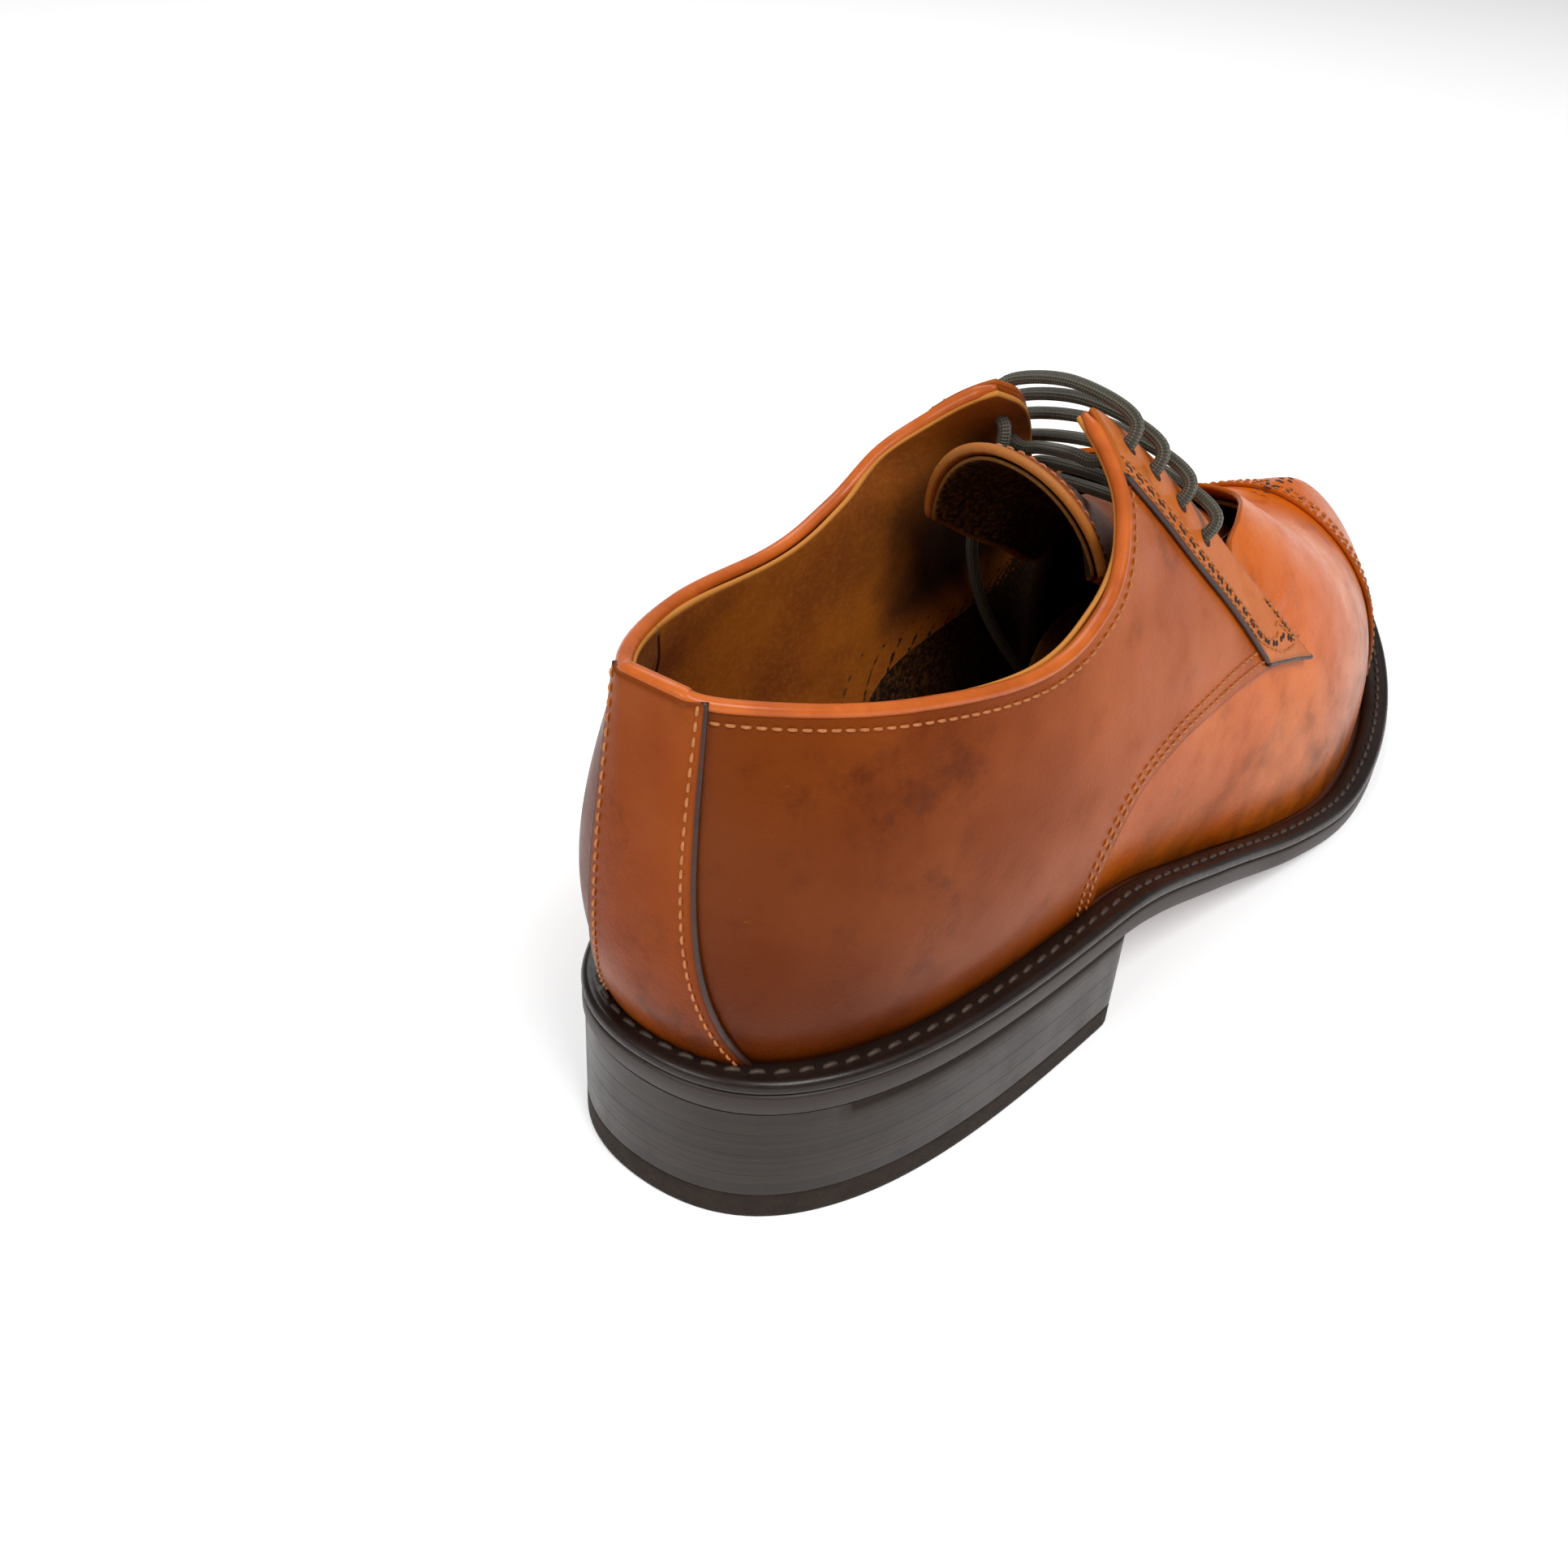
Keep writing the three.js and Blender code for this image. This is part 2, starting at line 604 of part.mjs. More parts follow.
function lacePath() {
  const last = eyeletSpots.length - 1;
  const points = outerTail.map((q) => new THREE.Vector3(...q)).reverse();
  for (let row = last; row >= 0; row -= 1) {
    const below = row === last ? underEnd : [...under].reverse();
    const left = throughEyelet(-1, row, [...below, ...overOuter]);
    const right = throughEyelet(1, row, [...overInner, ...(row === 0 ? underEnd : under)]);
    const [from, to] = [left[left.length - 1], right[0]];
    const bar = from.clone().lerp(to, 0.5);
    bar.z += barRise * from.distanceTo(to);
    points.push(...left, bar, ...right);
  }
  points.push(...innerTail.map((q) => new THREE.Vector3(...q)));
  return new THREE.CatmullRomCurve3(points);
}

function rodAlong(start, direction, length, diameter, sides = 8) {
  const rod = new THREE.CylinderGeometry(diameter / 2, diameter / 2, length, sides);
  const turn = new THREE.Quaternion().setFromUnitVectors(new THREE.Vector3(0, 1, 0), direction);
  const middle = start.clone().addScaledVector(direction, length / 2);
  return rod.applyQuaternion(turn).translate(middle.x, middle.y, middle.z);
}

function eyeletCutters(side, diameter) {
  return eyeletSpots.map((_, row) => {
    const { p, n } = eyelet(side, row);
    return rodAlong(p.clone().addScaledVector(n, -8), n, 13, diameter, 10);
  });
}

const shoe = new THREE.Group();
const add = (...args) => shoe.add(mesh(...args));

// ---- heel
const heelTop = undersideAt(-152);
const liftThick = (heelTop - topPieceThick - (liftCount + 1) * gap) / liftCount;
const holeDiameter = nailDiameter + 2 * gap;
add('top_piece', heelLayer(0, topPieceThick), rubberBrown, 0.8);
for (let k = 0; k < liftCount; k += 1) {
  const low = topPieceThick + gap + k * (liftThick + gap);
  let lift = heelLayer(low, low + liftThick, holeDiameter);
  if (k === liftCount - 1) lift = cut(lift, [soleSlab(-5, -gap, 30)]);
  add(`heel_lift_${k + 1}`, lift, darkBrown, 0.35);
}
nailSpots.forEach(([x, y], k) => {
  const low = topPieceThick + 2 * gap;
  add(`heel_nail_${k + 1}`, upright(x, y, low, undersideAt(x) + nailHold, nailDiameter), steel, 0.35, 0.9);
});

// ---- sole
const nailHoles = nailSpots.map(([x, y]) => upright(x, y, 10, undersideAt(x) + nailHold + gap, holeDiameter));
add('outsole', cut(soleSlab(0, 0, outsoleThick), nailHoles), darkBrown, 0.4);
add('welt', weltRing(), darkBrown, 0.35);
const insideInset = weltMargin - liningLayer[0] + boardClearance;
const boardLow = outsoleThick + gap + corkThick + gap;
const sockLow = boardLow + insoleThick + gap;
const corkLow = outsoleThick + gap;
add('cork_filler', soleSlab(insideInset, corkLow, corkLow + corkThick, ...corkEnds), corkTan, 0.9);
const shankLong = shankEnds[1] - shankEnds[0];
const shank = new THREE.BoxGeometry(shankLong, shankWidth, shankThick, 24, 1, 1);
shank.translate((shankEnds[0] + shankEnds[1]) / 2, 0, outsoleThick + gap + shankThick / 2);
const shankPlaces = shank.attributes.position;
for (let k = 0; k < shankPlaces.count; k += 1) {
  shankPlaces.setZ(k, shankPlaces.getZ(k) + undersideAt(shankPlaces.getX(k)));
}
add('shank', shank, steel, 0.4, 0.8);
add('insole_board', soleSlab(insideInset, boardLow, boardLow + insoleThick), natural, 0.7);
add('heel_pad', soleSlab(insideInset + padInset, sockLow, sockLow + padThick, 0, padEnd), liningTan, 0.6);
const sock = soleSlab(insideInset + sockInset, sockLow, sockLow + sockThick, sockStart);
add('sock_lining', sock, liningTan, 0.6);

// ---- upper
for (const [label, side] of [['lateral', -1], ['medial', 1]]) {
  const holes = eyeletCutters(side, eyeletDiameter);
  const quarter = leather([onSide(side), fromHeelBack, inQuarter], outerLayer);
  const inFacing = (c) => inside(facingOutline, c.station, c.height) - facingInset;
  const facing = leather([onSide(side), inFacing], trimLayer);
  const lining = leather([
    onSide(side), (c) => inQuarter(c) - liningInset,
    (c) => (c.station - gripEdge(c.height)) * mmPerStation - gap / 2,
  ], liningLayer);
  add(`quarter_${label}`, cut(quarter, holes), tan);
  add(`facing_${label}`, cut(facing, holes), tan);
  add(`quarter_lining_${label}`, cut(lining, eyeletCutters(side, liningHoleDiameter)), liningTan, 0.6);
}
add('heel_strip', leather([
  (c) => (stripHalf(c.height) - c.station) * mmPerStation, inQuarter, weltTop,
], trimLayer), tan);
add('heel_grip', leather([
  (c) => (gripEdge(c.height) - c.station) * mmPerStation - gap / 2, (c) => inQuarter(c) - liningInset,
], liningLayer), liningTan, 0.7);
add('heel_counter', leather([(c) => inside(counterPattern, c.station, c.height)], middleLayer), natural, 0.8);
add('vamp', leather([inVamp, (c) => seamLap - capSeam(c)], middleLayer), lightTan);
add('toe_cap', leather([capSeam], outerLayer), lightTan);
add('toe_puff', leather([(c) => capSeam(c) - seamLap - gap], middleLayer), canvas, 0.8);
add('vamp_lining', leather([inVamp, (c) => -inQuarter(c) - gap], liningLayer), liningTan, 0.7);

// ---- tongue
add('tongue', tongueLayer([-tongueThick, 0], 0), tan, 0.5);
const tongueLiningTop = -tongueThick - gap;
const tongueLining = tongueLayer([tongueLiningTop - tongueLiningThick, tongueLiningTop], tongueLiningTrim);
add('tongue_lining', tongueLining, liningTan, 0.7);

// ---- lace
const laceRoute = lacePath();
const laceSection = new THREE.Shape(Array.from({ length: laceSides }, (_, k) => (
  new THREE.Vector2(laceDiameter / 2, 0).rotateAround(new THREE.Vector2(), (2 * Math.PI * k) / laceSides)
)));
const laceTube = new THREE.ExtrudeGeometry(laceSection, { steps: laceSteps, extrudePath: laceRoute });
add('shoelace', laceTube, olive, 0.6);
[[0, -1], [1, 1]].forEach(([end, sign], k) => {
  const direction = laceRoute.getTangentAt(end).multiplyScalar(sign);
  const start = laceRoute.getPointAt(end).addScaledVector(direction, gap);
  add(`aglet_${k + 1}`, rodAlong(start, direction, agletLength, agletDiameter), olive, 0.3);
});

// The origin is on the ground under the middle of the whole shoe.
const whole = new THREE.Box3().setFromObject(shoe);
shoe.position.set(-(whole.min.x + whole.max.x) / 2, -(whole.min.y + whole.max.y) / 2, 0);

export default shoe;
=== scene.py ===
# Leather derby shoe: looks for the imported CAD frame. Sizes are millimetres until a mesh is made.
# x to the toe, y to the inner side of this right shoe, z up.
import math
import bpy
import numpy as np
from mathutils import Matrix, Vector


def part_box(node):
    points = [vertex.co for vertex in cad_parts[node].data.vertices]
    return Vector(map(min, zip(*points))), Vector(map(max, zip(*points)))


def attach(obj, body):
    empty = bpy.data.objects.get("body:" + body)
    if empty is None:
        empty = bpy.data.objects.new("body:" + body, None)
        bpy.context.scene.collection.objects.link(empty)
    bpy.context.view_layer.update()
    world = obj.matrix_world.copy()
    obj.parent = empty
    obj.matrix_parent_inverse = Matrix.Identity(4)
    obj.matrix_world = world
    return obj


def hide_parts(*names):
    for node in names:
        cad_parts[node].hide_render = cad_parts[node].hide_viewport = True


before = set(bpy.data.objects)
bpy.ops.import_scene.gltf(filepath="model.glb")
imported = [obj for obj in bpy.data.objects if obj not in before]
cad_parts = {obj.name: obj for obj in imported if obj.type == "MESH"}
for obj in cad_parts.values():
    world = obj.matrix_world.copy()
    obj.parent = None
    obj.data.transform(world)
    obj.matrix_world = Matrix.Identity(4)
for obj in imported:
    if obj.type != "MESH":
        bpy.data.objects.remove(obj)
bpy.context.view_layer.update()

metre = 0.001  # one millimetre in metres

# the last and the sole, as in the CAD
sole = {
    "outline": [(-154, 3), (-148, -19), (-121, -34.5), (-77, -41), (-34, -44), (3, -50), (41, -56.5),
                (78, -51.5), (112, -40), (142, -20.5), (156, 1), (147.5, 22), (118, 43), (86, 57),
                (50, 53), (10.5, 34.5), (-29, 25), (-74, 31.5), (-118, 39), (-149, 27)],
    "profile": [(-170, 26.8), (-152, 26.6), (-112, 25.9), (-62, 24.9), (-20, 14.5), (15, 5.0),
                (50, 0), (85, 0.8), (120, 4.6), (152, 11.2), (172, 14)],
    "thick": 4.7,
    "weltMargin": 6.6,
    "gap": 0.3,
    "sockLow": 9.4,
    "sockThick": 1.0,
    "sockInset": 11.6,
    "sockStations": (3.65, 9.98),
    "ringPoints": 240,
}
last = {
    "top": [(-159, 9, 114), (-118, 2.5, 115), (-66, 6, 120), (-28, 0, 127), (56, 1, 58), (123, 3, 52.5)],
    "apart": [0, 23, 38, -18, 0, 0],
    "ribs": [(0, 8, .17, 0, 14.5, .40, .25, 7, .62, .8, 1, .86),
             (0, 5.5, .18, 0, 8.5, .40, .3, 3, .62, .8, 0, .86),
             (0, 3, .20, .05, 3.5, .42, .4, 2, .66, .83, 0, .88),
             (0, 1.5, .16, .05, 3, .42, .46, 5, .74, .86, 0, .96),
             (0, .5, .27, .09, 2, .58, .46, 2, .82, .78, 0, .89),
             (0, 2, .30, .03, 4, .62, .36, 3.3, .97, .7, 0, 1.01)],
    "closing": 0.7,
}
pattern = {  # (station, height) on the last: 0 heel back to 10 toe tip, 0 feather line to 1 ridge
    "topline": [(0, .845), (1, .812), (2, .752), (2.9, .695), (3.5, .725), (4.05, .8), (4.55, .86),
                (5.05, .955)],
    "frontSeam": [(3.3, 0), (3.25, .15), (3.45, .285), (3.9, .355), (4.5, .385), (5.1, .395), (5.68, .38)],
    "facingFront": [(5.68, .38), (5.5, .46), (5.33, .58), (5.3, .7), (5.3, .8), (5.22, .9), (5.05, .955)],
    "facingRear": [(4.55, .86), (4.66, .74), (4.75, .64), (4.92, .53), (5.1, .41)],
    "vampRear": [(2.9, -.1), (2.9, .2), (3.15, .38), (3.8, .45), (4.6, .48),
                 (5.1, .52), (5.5, .6), (6.1, .66), (6.9, .77), (7.6, 1.02)],
    "capSeamX": 100,
    "capSeamBow": -3,
    "capSeamHalf": 40,  # distance from the middle at which the seam bows by that much
    "capSeamRange": (5.0, 9.9),
    "eyelets": [(5.03, .845), (5.08, .78), (5.09, .715), (5.08, .65)],
    "stationLength": 30,
    "heightLength": 95,
}
wholeRound = 20  # stations round the sole; the inner side runs back from here


def ring(values, t):
    # uniform cubic B-spline round a closed ring of control values
    values = np.asarray(values, float)
    t = np.asarray(t, float)
    n = len(values)
    i = np.floor(t).astype(int)
    f = t - i
    if values.ndim > 1:
        f = f[..., None]
    a, b, c, d = (values[(i + k) % n] for k in (-1, 0, 1, 2))
    total = (1 - f) ** 3 * a + (3 * f ** 3 - 6 * f ** 2 + 4) * b
    total = total + (-3 * f ** 3 + 3 * f ** 2 + 3 * f + 1) * c + f ** 3 * d
    return total / 6


def bothSides(values):
    return list(values) + list(values[1:-1])[::-1]


def underside(x):
    # height of the sole's underside: Hermite pieces whose tangents are harmonic means of the slopes
    px, pz = np.array(sole["profile"], float).T
    slope = np.diff(pz) / np.diff(px)
    a, b = slope[:-1], slope[1:]
    inner = np.where(a * b > 0, 2 * a * b / np.where(a + b == 0, 1, a + b), 0)
    tangent = np.concatenate([slope[:1], inner, slope[-1:]])
    k = np.clip(np.searchsorted(px, x, side="right") - 1, 0, len(px) - 2)
    width = px[k + 1] - px[k]
    f = (x - px[k]) / width
    return ((1 + 2 * f) * (1 - f) ** 2 * pz[k] + f * (1 - f) ** 2 * width * tangent[k]
            + f * f * (3 - 2 * f) * pz[k + 1] + f * f * (f - 1) * width * tangent[k + 1])


def outlineAt(t, inset=0.0):
    # the sole's outline moved inwards, and its outward normal
    t = np.asarray(t, float)
    p = ring(sole["outline"], t)
    ahead = ring(sole["outline"], t + 1e-3) - p
    ahead /= np.linalg.norm(ahead, axis=-1, keepdims=True)
    normal = np.stack([ahead[..., 1], -ahead[..., 0]], -1)
    return p - normal * np.asarray(inset, float)[..., None], normal


def soleRing(t, inset, level):
    # line round the sole, moved inwards and raised over the underside
    flat, _ = outlineAt(t, inset)
    return atHeight(flat, underside(flat[..., 0]) + level)


def atHeight(flat, z):
    return np.concatenate([flat, np.broadcast_to(z, flat.shape[:-1])[..., None]], -1)


lowSole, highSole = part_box("outsole")
soleX = ring(sole["outline"], np.linspace(0, wholeRound, 97))[:, 0]
shift = np.array([(lowSole.x + highSole.x) / 2 / metre - (soleX.min() + soleX.max()) / 2, 0, 0])

topX, topY, topZ = (bothSides([p[k] for p in last["top"]]) for k in range(3))
topApart = bothSides(last["apart"])
topRibs = bothSides(last["ribs"])


def lastPoint(t, v):
    # rib t is a degree-five Bezier curve over v, from the feather line to the ridge
    t, v = np.broadcast_arrays(np.asarray(t, float), np.asarray(v, float))
    t = t % wholeRound
    foot, normal = outlineAt(t, sole["weltMargin"])
    footZ = underside(foot[..., 0]) + sole["thick"] + sole["gap"]
    half = np.maximum(0, ring(topApart, t / 2) - last["closing"])
    topSide = ring(topY, t / 2) + np.where(t <= wholeRound / 2, -half, half)
    top = np.stack([ring(topX, t / 2), topSide, ring(topZ, t / 2)], -1)
    handle = ring(topRibs, t / 2)
    points = [atHeight(foot, footZ)]
    for k in range(4):
        share, bulge, rise = (handle[..., 3 * k + j, None] for j in range(3))
        flat = foot + (top[..., :2] - foot) * share + normal * bulge
        points.append(atHeight(flat, footZ + (top[..., 2] - footZ) * rise[..., 0]))
    points.append(top)
    return sum(math.comb(5, k) * (v ** k * (1 - v) ** (5 - k))[..., None] * q for k, q in enumerate(points))


def lastNormal(t, v):
    # cross product of the steps along the last and up the rib
    e = 2e-3
    v = np.clip(v, 0.0, 1.0)
    along = lastPoint(np.asarray(t) + e, v) - lastPoint(np.asarray(t) - e, v)
    up = lastPoint(t, np.minimum(v + e, 1)) - lastPoint(t, np.maximum(v - e, 0))
    return unit(np.cross(along, up))


def laid(t, v, lift=0.0):
    # points lifted off the last, and its normals there
    normal = lastNormal(t, v)
    return lastPoint(t, v) + normal * np.asarray(lift, float)[..., None], normal


def unit(a):
    return a / np.maximum(np.linalg.norm(a, axis=-1, keepdims=True), 1e-9)


def smoothLine(points, count):
    # Catmull-Rom curve through points of the pattern, as count points evenly spaced along it
    p = np.array(points, float)
    p = np.concatenate([[2 * p[0] - p[1]], p, [2 * p[-1] - p[-2]]])
    s = np.linspace(0, len(p) - 3 - 1e-9, 40 * (len(p) - 3))
    k = s.astype(int)
    f = (s - k)[:, None]
    a, b, c, d = p[k], p[k + 1], p[k + 2], p[k + 3]
    q = 0.5 * (2 * b + (c - a) * f + (2 * a - 5 * b + 4 * c - d) * f ** 2 + (3 * b - a - 3 * c + d) * f ** 3)
    return resample(q, count, patternSizes)


def runAlong(line):
    return np.concatenate([[0], np.cumsum(np.linalg.norm(np.diff(line, axis=0), axis=1))])


def picked(line, wanted, run):
    # points of a line at the wanted places, where run is each point's own place
    return np.stack([np.interp(wanted, run, line[:, k]) for k in range(line.shape[1])], -1)


def resample(line, count, sizes=1):
    # evenly spaced points, with lengths measured in the line's columns times their sizes
    run = runAlong(line * sizes)
    return picked(line, np.linspace(0, run[-1], count), run)


patternSizes = np.array([pattern["stationLength"], pattern["heightLength"]])


def edgeSteps(count, length, close=0.35):
    # places from 0 to 1 with two rows packed close to each end, so that an edge can be rounded
    a = close / length
    middle = np.linspace(0, 1, count)[1:-1] * (1 - 7 * a) + 3.5 * a
    return np.concatenate([[0, a, 2.3 * a], middle, [1 - 2.3 * a, 1 - a, 1]])


print("camera")
camera = {
    "place": (-290.9, -120.1, 221.5),
    "azimuth": -53.10,
    "elevation": 34.54,
    "roll": 2.68,
    "lens": 35.02,
    "shift": (0.0229, -0.0130),
}


def makeCamera():
    a, e, r = (math.radians(camera[k]) for k in ("azimuth", "elevation", "roll"))
    back = Vector((math.sin(a) * math.cos(e), -math.cos(a) * math.cos(e), math.sin(e)))
    right = Vector((math.cos(a), math.sin(a), 0))
    up = back.cross(right)
    right, up = right * math.cos(r) + up * math.sin(r), up * math.cos(r) - right * math.sin(r)
    data = bpy.data.cameras.new("camera")
    data.lens = camera["lens"]
    data.sensor_width = 36
    data.shift_x, data.shift_y = camera["shift"]
    data.clip_start = 0.01
    item = bpy.data.objects.new("camera", data)
    bpy.context.scene.collection.objects.link(item)
    item.matrix_world = Matrix((right, up, back)).transposed().to_4x4()
    item.location = (Vector(camera["place"]) + Vector(shift)) * metre
    bpy.context.scene.camera = item


makeCamera()


def volumeSign(mesh):
    # sum of each face's area times its distance from the origin along its normal
    n = len(mesh.polygons)
    centre, normal, area = np.zeros(3 * n), np.zeros(3 * n), np.zeros(n)
    mesh.polygons.foreach_get("center", centre)
    mesh.polygons.foreach_get("normal", normal)
    mesh.polygons.foreach_get("area", area)
    return ((centre * normal).reshape(-1, 3).sum(1) * area).sum()


def makePiece(name, points, faces, material, body="shoe", replaces=(), slot=None, uv=None, edge=None,
              closed=True):
    # points are millimetres on the last; uv and edge hold one value for each point
    mesh = bpy.data.meshes.new(name)
    mesh.from_pydata(((points + shift) * metre).tolist(), [], faces)
    mesh.polygons.foreach_set("use_smooth", np.ones(len(mesh.polygons), bool))
    if uv is not None:
        corner = np.zeros(len(mesh.loops), int)
        mesh.loops.foreach_get("vertex_index", corner)
        layer = mesh.uv_layers.new(name="UVMap")
        layer.data.foreach_set("uv", np.asarray(uv, float)[corner].ravel())
    if edge is not None:
        mesh.attributes.new("edge", "FLOAT", "POINT").data.foreach_set("value", np.asarray(edge, float))
    mesh.materials.append(material)
    mesh.update()
    if closed and volumeSign(mesh) < 0:
        mesh.flip_normals()
    item = bpy.data.objects.new(name, mesh)
    bpy.context.scene.collection.objects.link(item)
    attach(item, body)
    if replaces:
        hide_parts(*replaces)
    return item


def gridFaces(rows, cols, start=0, flip=False, wrapCols=False, wrapRows=False):
    r = np.arange(rows if wrapRows else rows - 1)[:, None]
    c = np.arange(cols if wrapCols else cols - 1)[None]
    r2, c2 = (r + 1) % rows, (c + 1) % cols
    quads = np.stack([r * cols + c, r * cols + c2, r2 * cols + c2, r2 * cols + c], -1).reshape(-1, 4) + start
    return (quads[:, ::-1] if flip else quads).tolist()


def shell(name, outer, inner, lengths, material, folded=False, **more):
    # closed sheet between two grids of points; folded welds the last row's two halves to each other
    m, n = outer.shape[:2]
    points = np.concatenate([outer.reshape(-1, 3), inner.reshape(-1, 3)])
    faces = np.array(gridFaces(m, n) + gridFaces(m, n, m * n, True))
    lastRow = (m - 1) * n
    right, left = np.arange(m - 1) * n + n - 1, np.arange(m - 2, 0, -1) * n
    front = [lastRow] if folded else lastRow + np.arange(n - 1, -1, -1)
    border = np.concatenate([np.arange(n - 1), right, front, left])
    nextOne = np.roll(border, -1)
    faces = np.concatenate([faces, np.stack([border, border + m * n, nextOne + m * n, nextOne], -1)])
    a, b = lengths
    gridA, gridB = np.meshgrid(a, b, indexing="ij")
    uv = np.stack([gridA, gridB], -1).reshape(-1, 2)
    ahead = np.full(gridA.shape, a[-1]) if folded else a[-1] - gridA
    edge = np.minimum(np.minimum(gridA, ahead), np.minimum(gridB, b[-1] - gridB)).ravel()
    uv, edge = np.concatenate([uv, uv]), np.concatenate([edge, edge])
    if folded:
        index = np.arange(2 * m * n)
        for start in (lastRow, m * n + lastRow):
            index[start + n // 2 + 1:start + n] = index[start:start + n // 2][::-1]
        used, faces = np.unique(index[faces], return_inverse=True)
        faces = faces.reshape(-1, 4)
        points, uv, edge = points[used], uv[used], edge[used]
    return makePiece(name, points, faces.tolist(), material, uv=uv * metre, edge=edge * metre, **more)


def rimOf(shape, folded=False):
    # 1 round the border of a grid and 0 inside it; a folded grid's last row is no border
    rim = np.zeros(shape)
    rim[0 if folded else [0, -1]] = 1
    rim[:, [0, -1]] = 1
    return rim


def panel(name, t, v, layer, lengths, material, round=0.3, settle=0, folded=False, **more):
    # leather on the last at stations t and heights v, between two distances from its surface
    place, normal = lastPoint(t, v), lastNormal(t, v)
    for _ in range(settle):
        place, normal = evened(place), unit(evened(normal))
    inner, outer = (np.broadcast_to(np.asarray(k, float), t.shape) for k in layer)
    rim = rimOf(t.shape, folded)
    high = place + normal * (outer - rim * round)[..., None]
    low = place + normal * (inner + rim * round)[..., None]
    return shell(name, high, low, lengths, material, folded=folded, **more)


def evened(a):
    # each column's middle rows drawn towards the mean of their neighbours across the ridge
    out = a.copy()
    mid = a.shape[1] // 2
    w = np.exp(-((np.arange(1, a.shape[1] - 1) - mid) / (0.10 * a.shape[1])) ** 2)[None, :, None] * 0.5
    out[:, 1:-1] = a[:, 1:-1] * (1 - w) + (a[:, :-2] + a[:, 2:]) / 2 * w
    return out


def tube(name, points, radius, material, sides=8, normals=None, flatten=1.0, **more):
    # round section carried along a line; its frame follows the normals, or turns as little as it can
    p = np.asarray(points, float)
    n = len(p)
    tangent = unit(np.gradient(p, axis=0))
    if normals is None:
        side = unit(np.cross(tangent[0], [0.3, 0.2, 1.0]))
        sideways = []
        for ahead in tangent:
            side = unit(side - ahead * side.dot(ahead))
            sideways.append(side)
        sideways = np.array(sideways)
    else:
        sideways = unit(np.cross(tangent, normals))
    up = np.cross(sideways, tangent)
    angle = np.arange(sides) / sides * 2 * math.pi
    size = np.broadcast_to(np.asarray(radius, float), (n,))[:, None, None]
    rings = p[:, None] + size * (np.cos(angle)[None, :, None] * sideways[:, None]
                                 + flatten * np.sin(angle)[None, :, None] * up[:, None])
    faces = gridFaces(n, sides, wrapCols=True, flip=True)
    faces += [list(range(sides)), [(n - 1) * sides + k for k in range(sides)][::-1]]
    uv = np.stack(np.broadcast_arrays(angle[None] / (2 * math.pi), runAlong(p)[:, None] * metre), -1)
    return makePiece(name, rings.reshape(-1, 3), faces, material, uv=uv.reshape(-1, 2), **more)


def stitches(name, rows, material, body="shoe", slot=None, long=1.75, pitch=2.35, thick=0.26, slant=0.0):
    # rows of small spindles, each lying on its line and half sunk; rows holds (points, normals)
    places, alongs, ups = [], [], []
    for points, normals in rows:
        run = runAlong(points)
        count = max(2, int(run[-1] / pitch))
        s = (np.arange(count) + 0.5) / count * run[-1]
        places.append(picked(points, s, run))
        alongs.append(unit(picked(points, s + 0.6, run) - picked(points, s - 0.6, run)))
        ups.append(unit(picked(normals, s, run)))
    place, along, up = np.concatenate(places), np.concatenate(alongs), np.concatenate(ups)
    along = unit(along + unit(np.cross(up, along)) * slant)
    across = unit(np.cross(up, along))
    s = np.array([-1, -0.7, 0, 0.7, 1.0])
    size = np.array([0.25, 0.85, 1.0, 0.85, 0.25])
    rise = np.array([-0.9, 0.1, 0.45, 0.1, -0.9])
    sides = 6
    angle = np.arange(sides) / sides * 2 * math.pi
    local = np.stack(np.broadcast_arrays(
        (s * long / 2)[:, None], size[:, None] * np.cos(angle) * thick * 1.15,
        (rise[:, None] + size[:, None] * np.sin(angle)) * thick), -1).reshape(-1, 3)
    points = (place[:, None] + local[None, :, :1] * along[:, None] + local[None, :, 1:2] * across[:, None]
              + local[None, :, 2:] * up[:, None]).reshape(-1, 3)
    start = (np.arange(len(place)) * len(local))[:, None, None]
    quads = np.array(gridFaces(len(s), sides, wrapCols=True, flip=True))
    lastRing = len(local) - sides
    caps = np.array([list(range(sides)), [lastRing + k for k in range(sides)][::-1]])
    faces = (quads[None] + start).reshape(-1, 4).tolist() + (caps[None] + start).reshape(-1, sides).tolist()
    return makePiece(name, points, faces, material, body=body, slot=slot)


def punches(name, places, normals, material, size=0.8, slot=None):
    # small dark dishes where holes are punched, their dark colour a painted shade inside the holes: a ring
    # falling to a sunk middle
    place, up = np.asarray(places, float), unit(np.asarray(normals, float))
    across = unit(np.cross(up, [0.31, 0.22, 0.93]))
    along = np.cross(up, across)
    size = np.broadcast_to(np.asarray(size, float), (len(place),))[:, None, None]
    sides = 12
    angle = np.arange(sides) / sides * 2 * math.pi
    radius = np.array([1.12, 0.95, 0.0001])[:, None]
    local = np.stack(np.broadcast_arrays(radius * np.cos(angle), radius * np.sin(angle)), -1)
    local = local.reshape(1, -1, 2)
    rise = np.repeat([0.0, 0.07, 0.05], sides)[None, :, None]
    points = (place[:, None] + size * (local[..., :1] * across[:, None] + local[..., 1:] * along[:, None])
              + rise * up[:, None]).reshape(-1, 3)
    quads = np.array(gridFaces(len(radius), sides, wrapCols=True))
    faces = (quads[None] + (np.arange(len(place)) * local.shape[1])[:, None, None]).reshape(-1, 4).tolist()
    return makePiece(name, points, faces, material, slot=slot, closed=False)


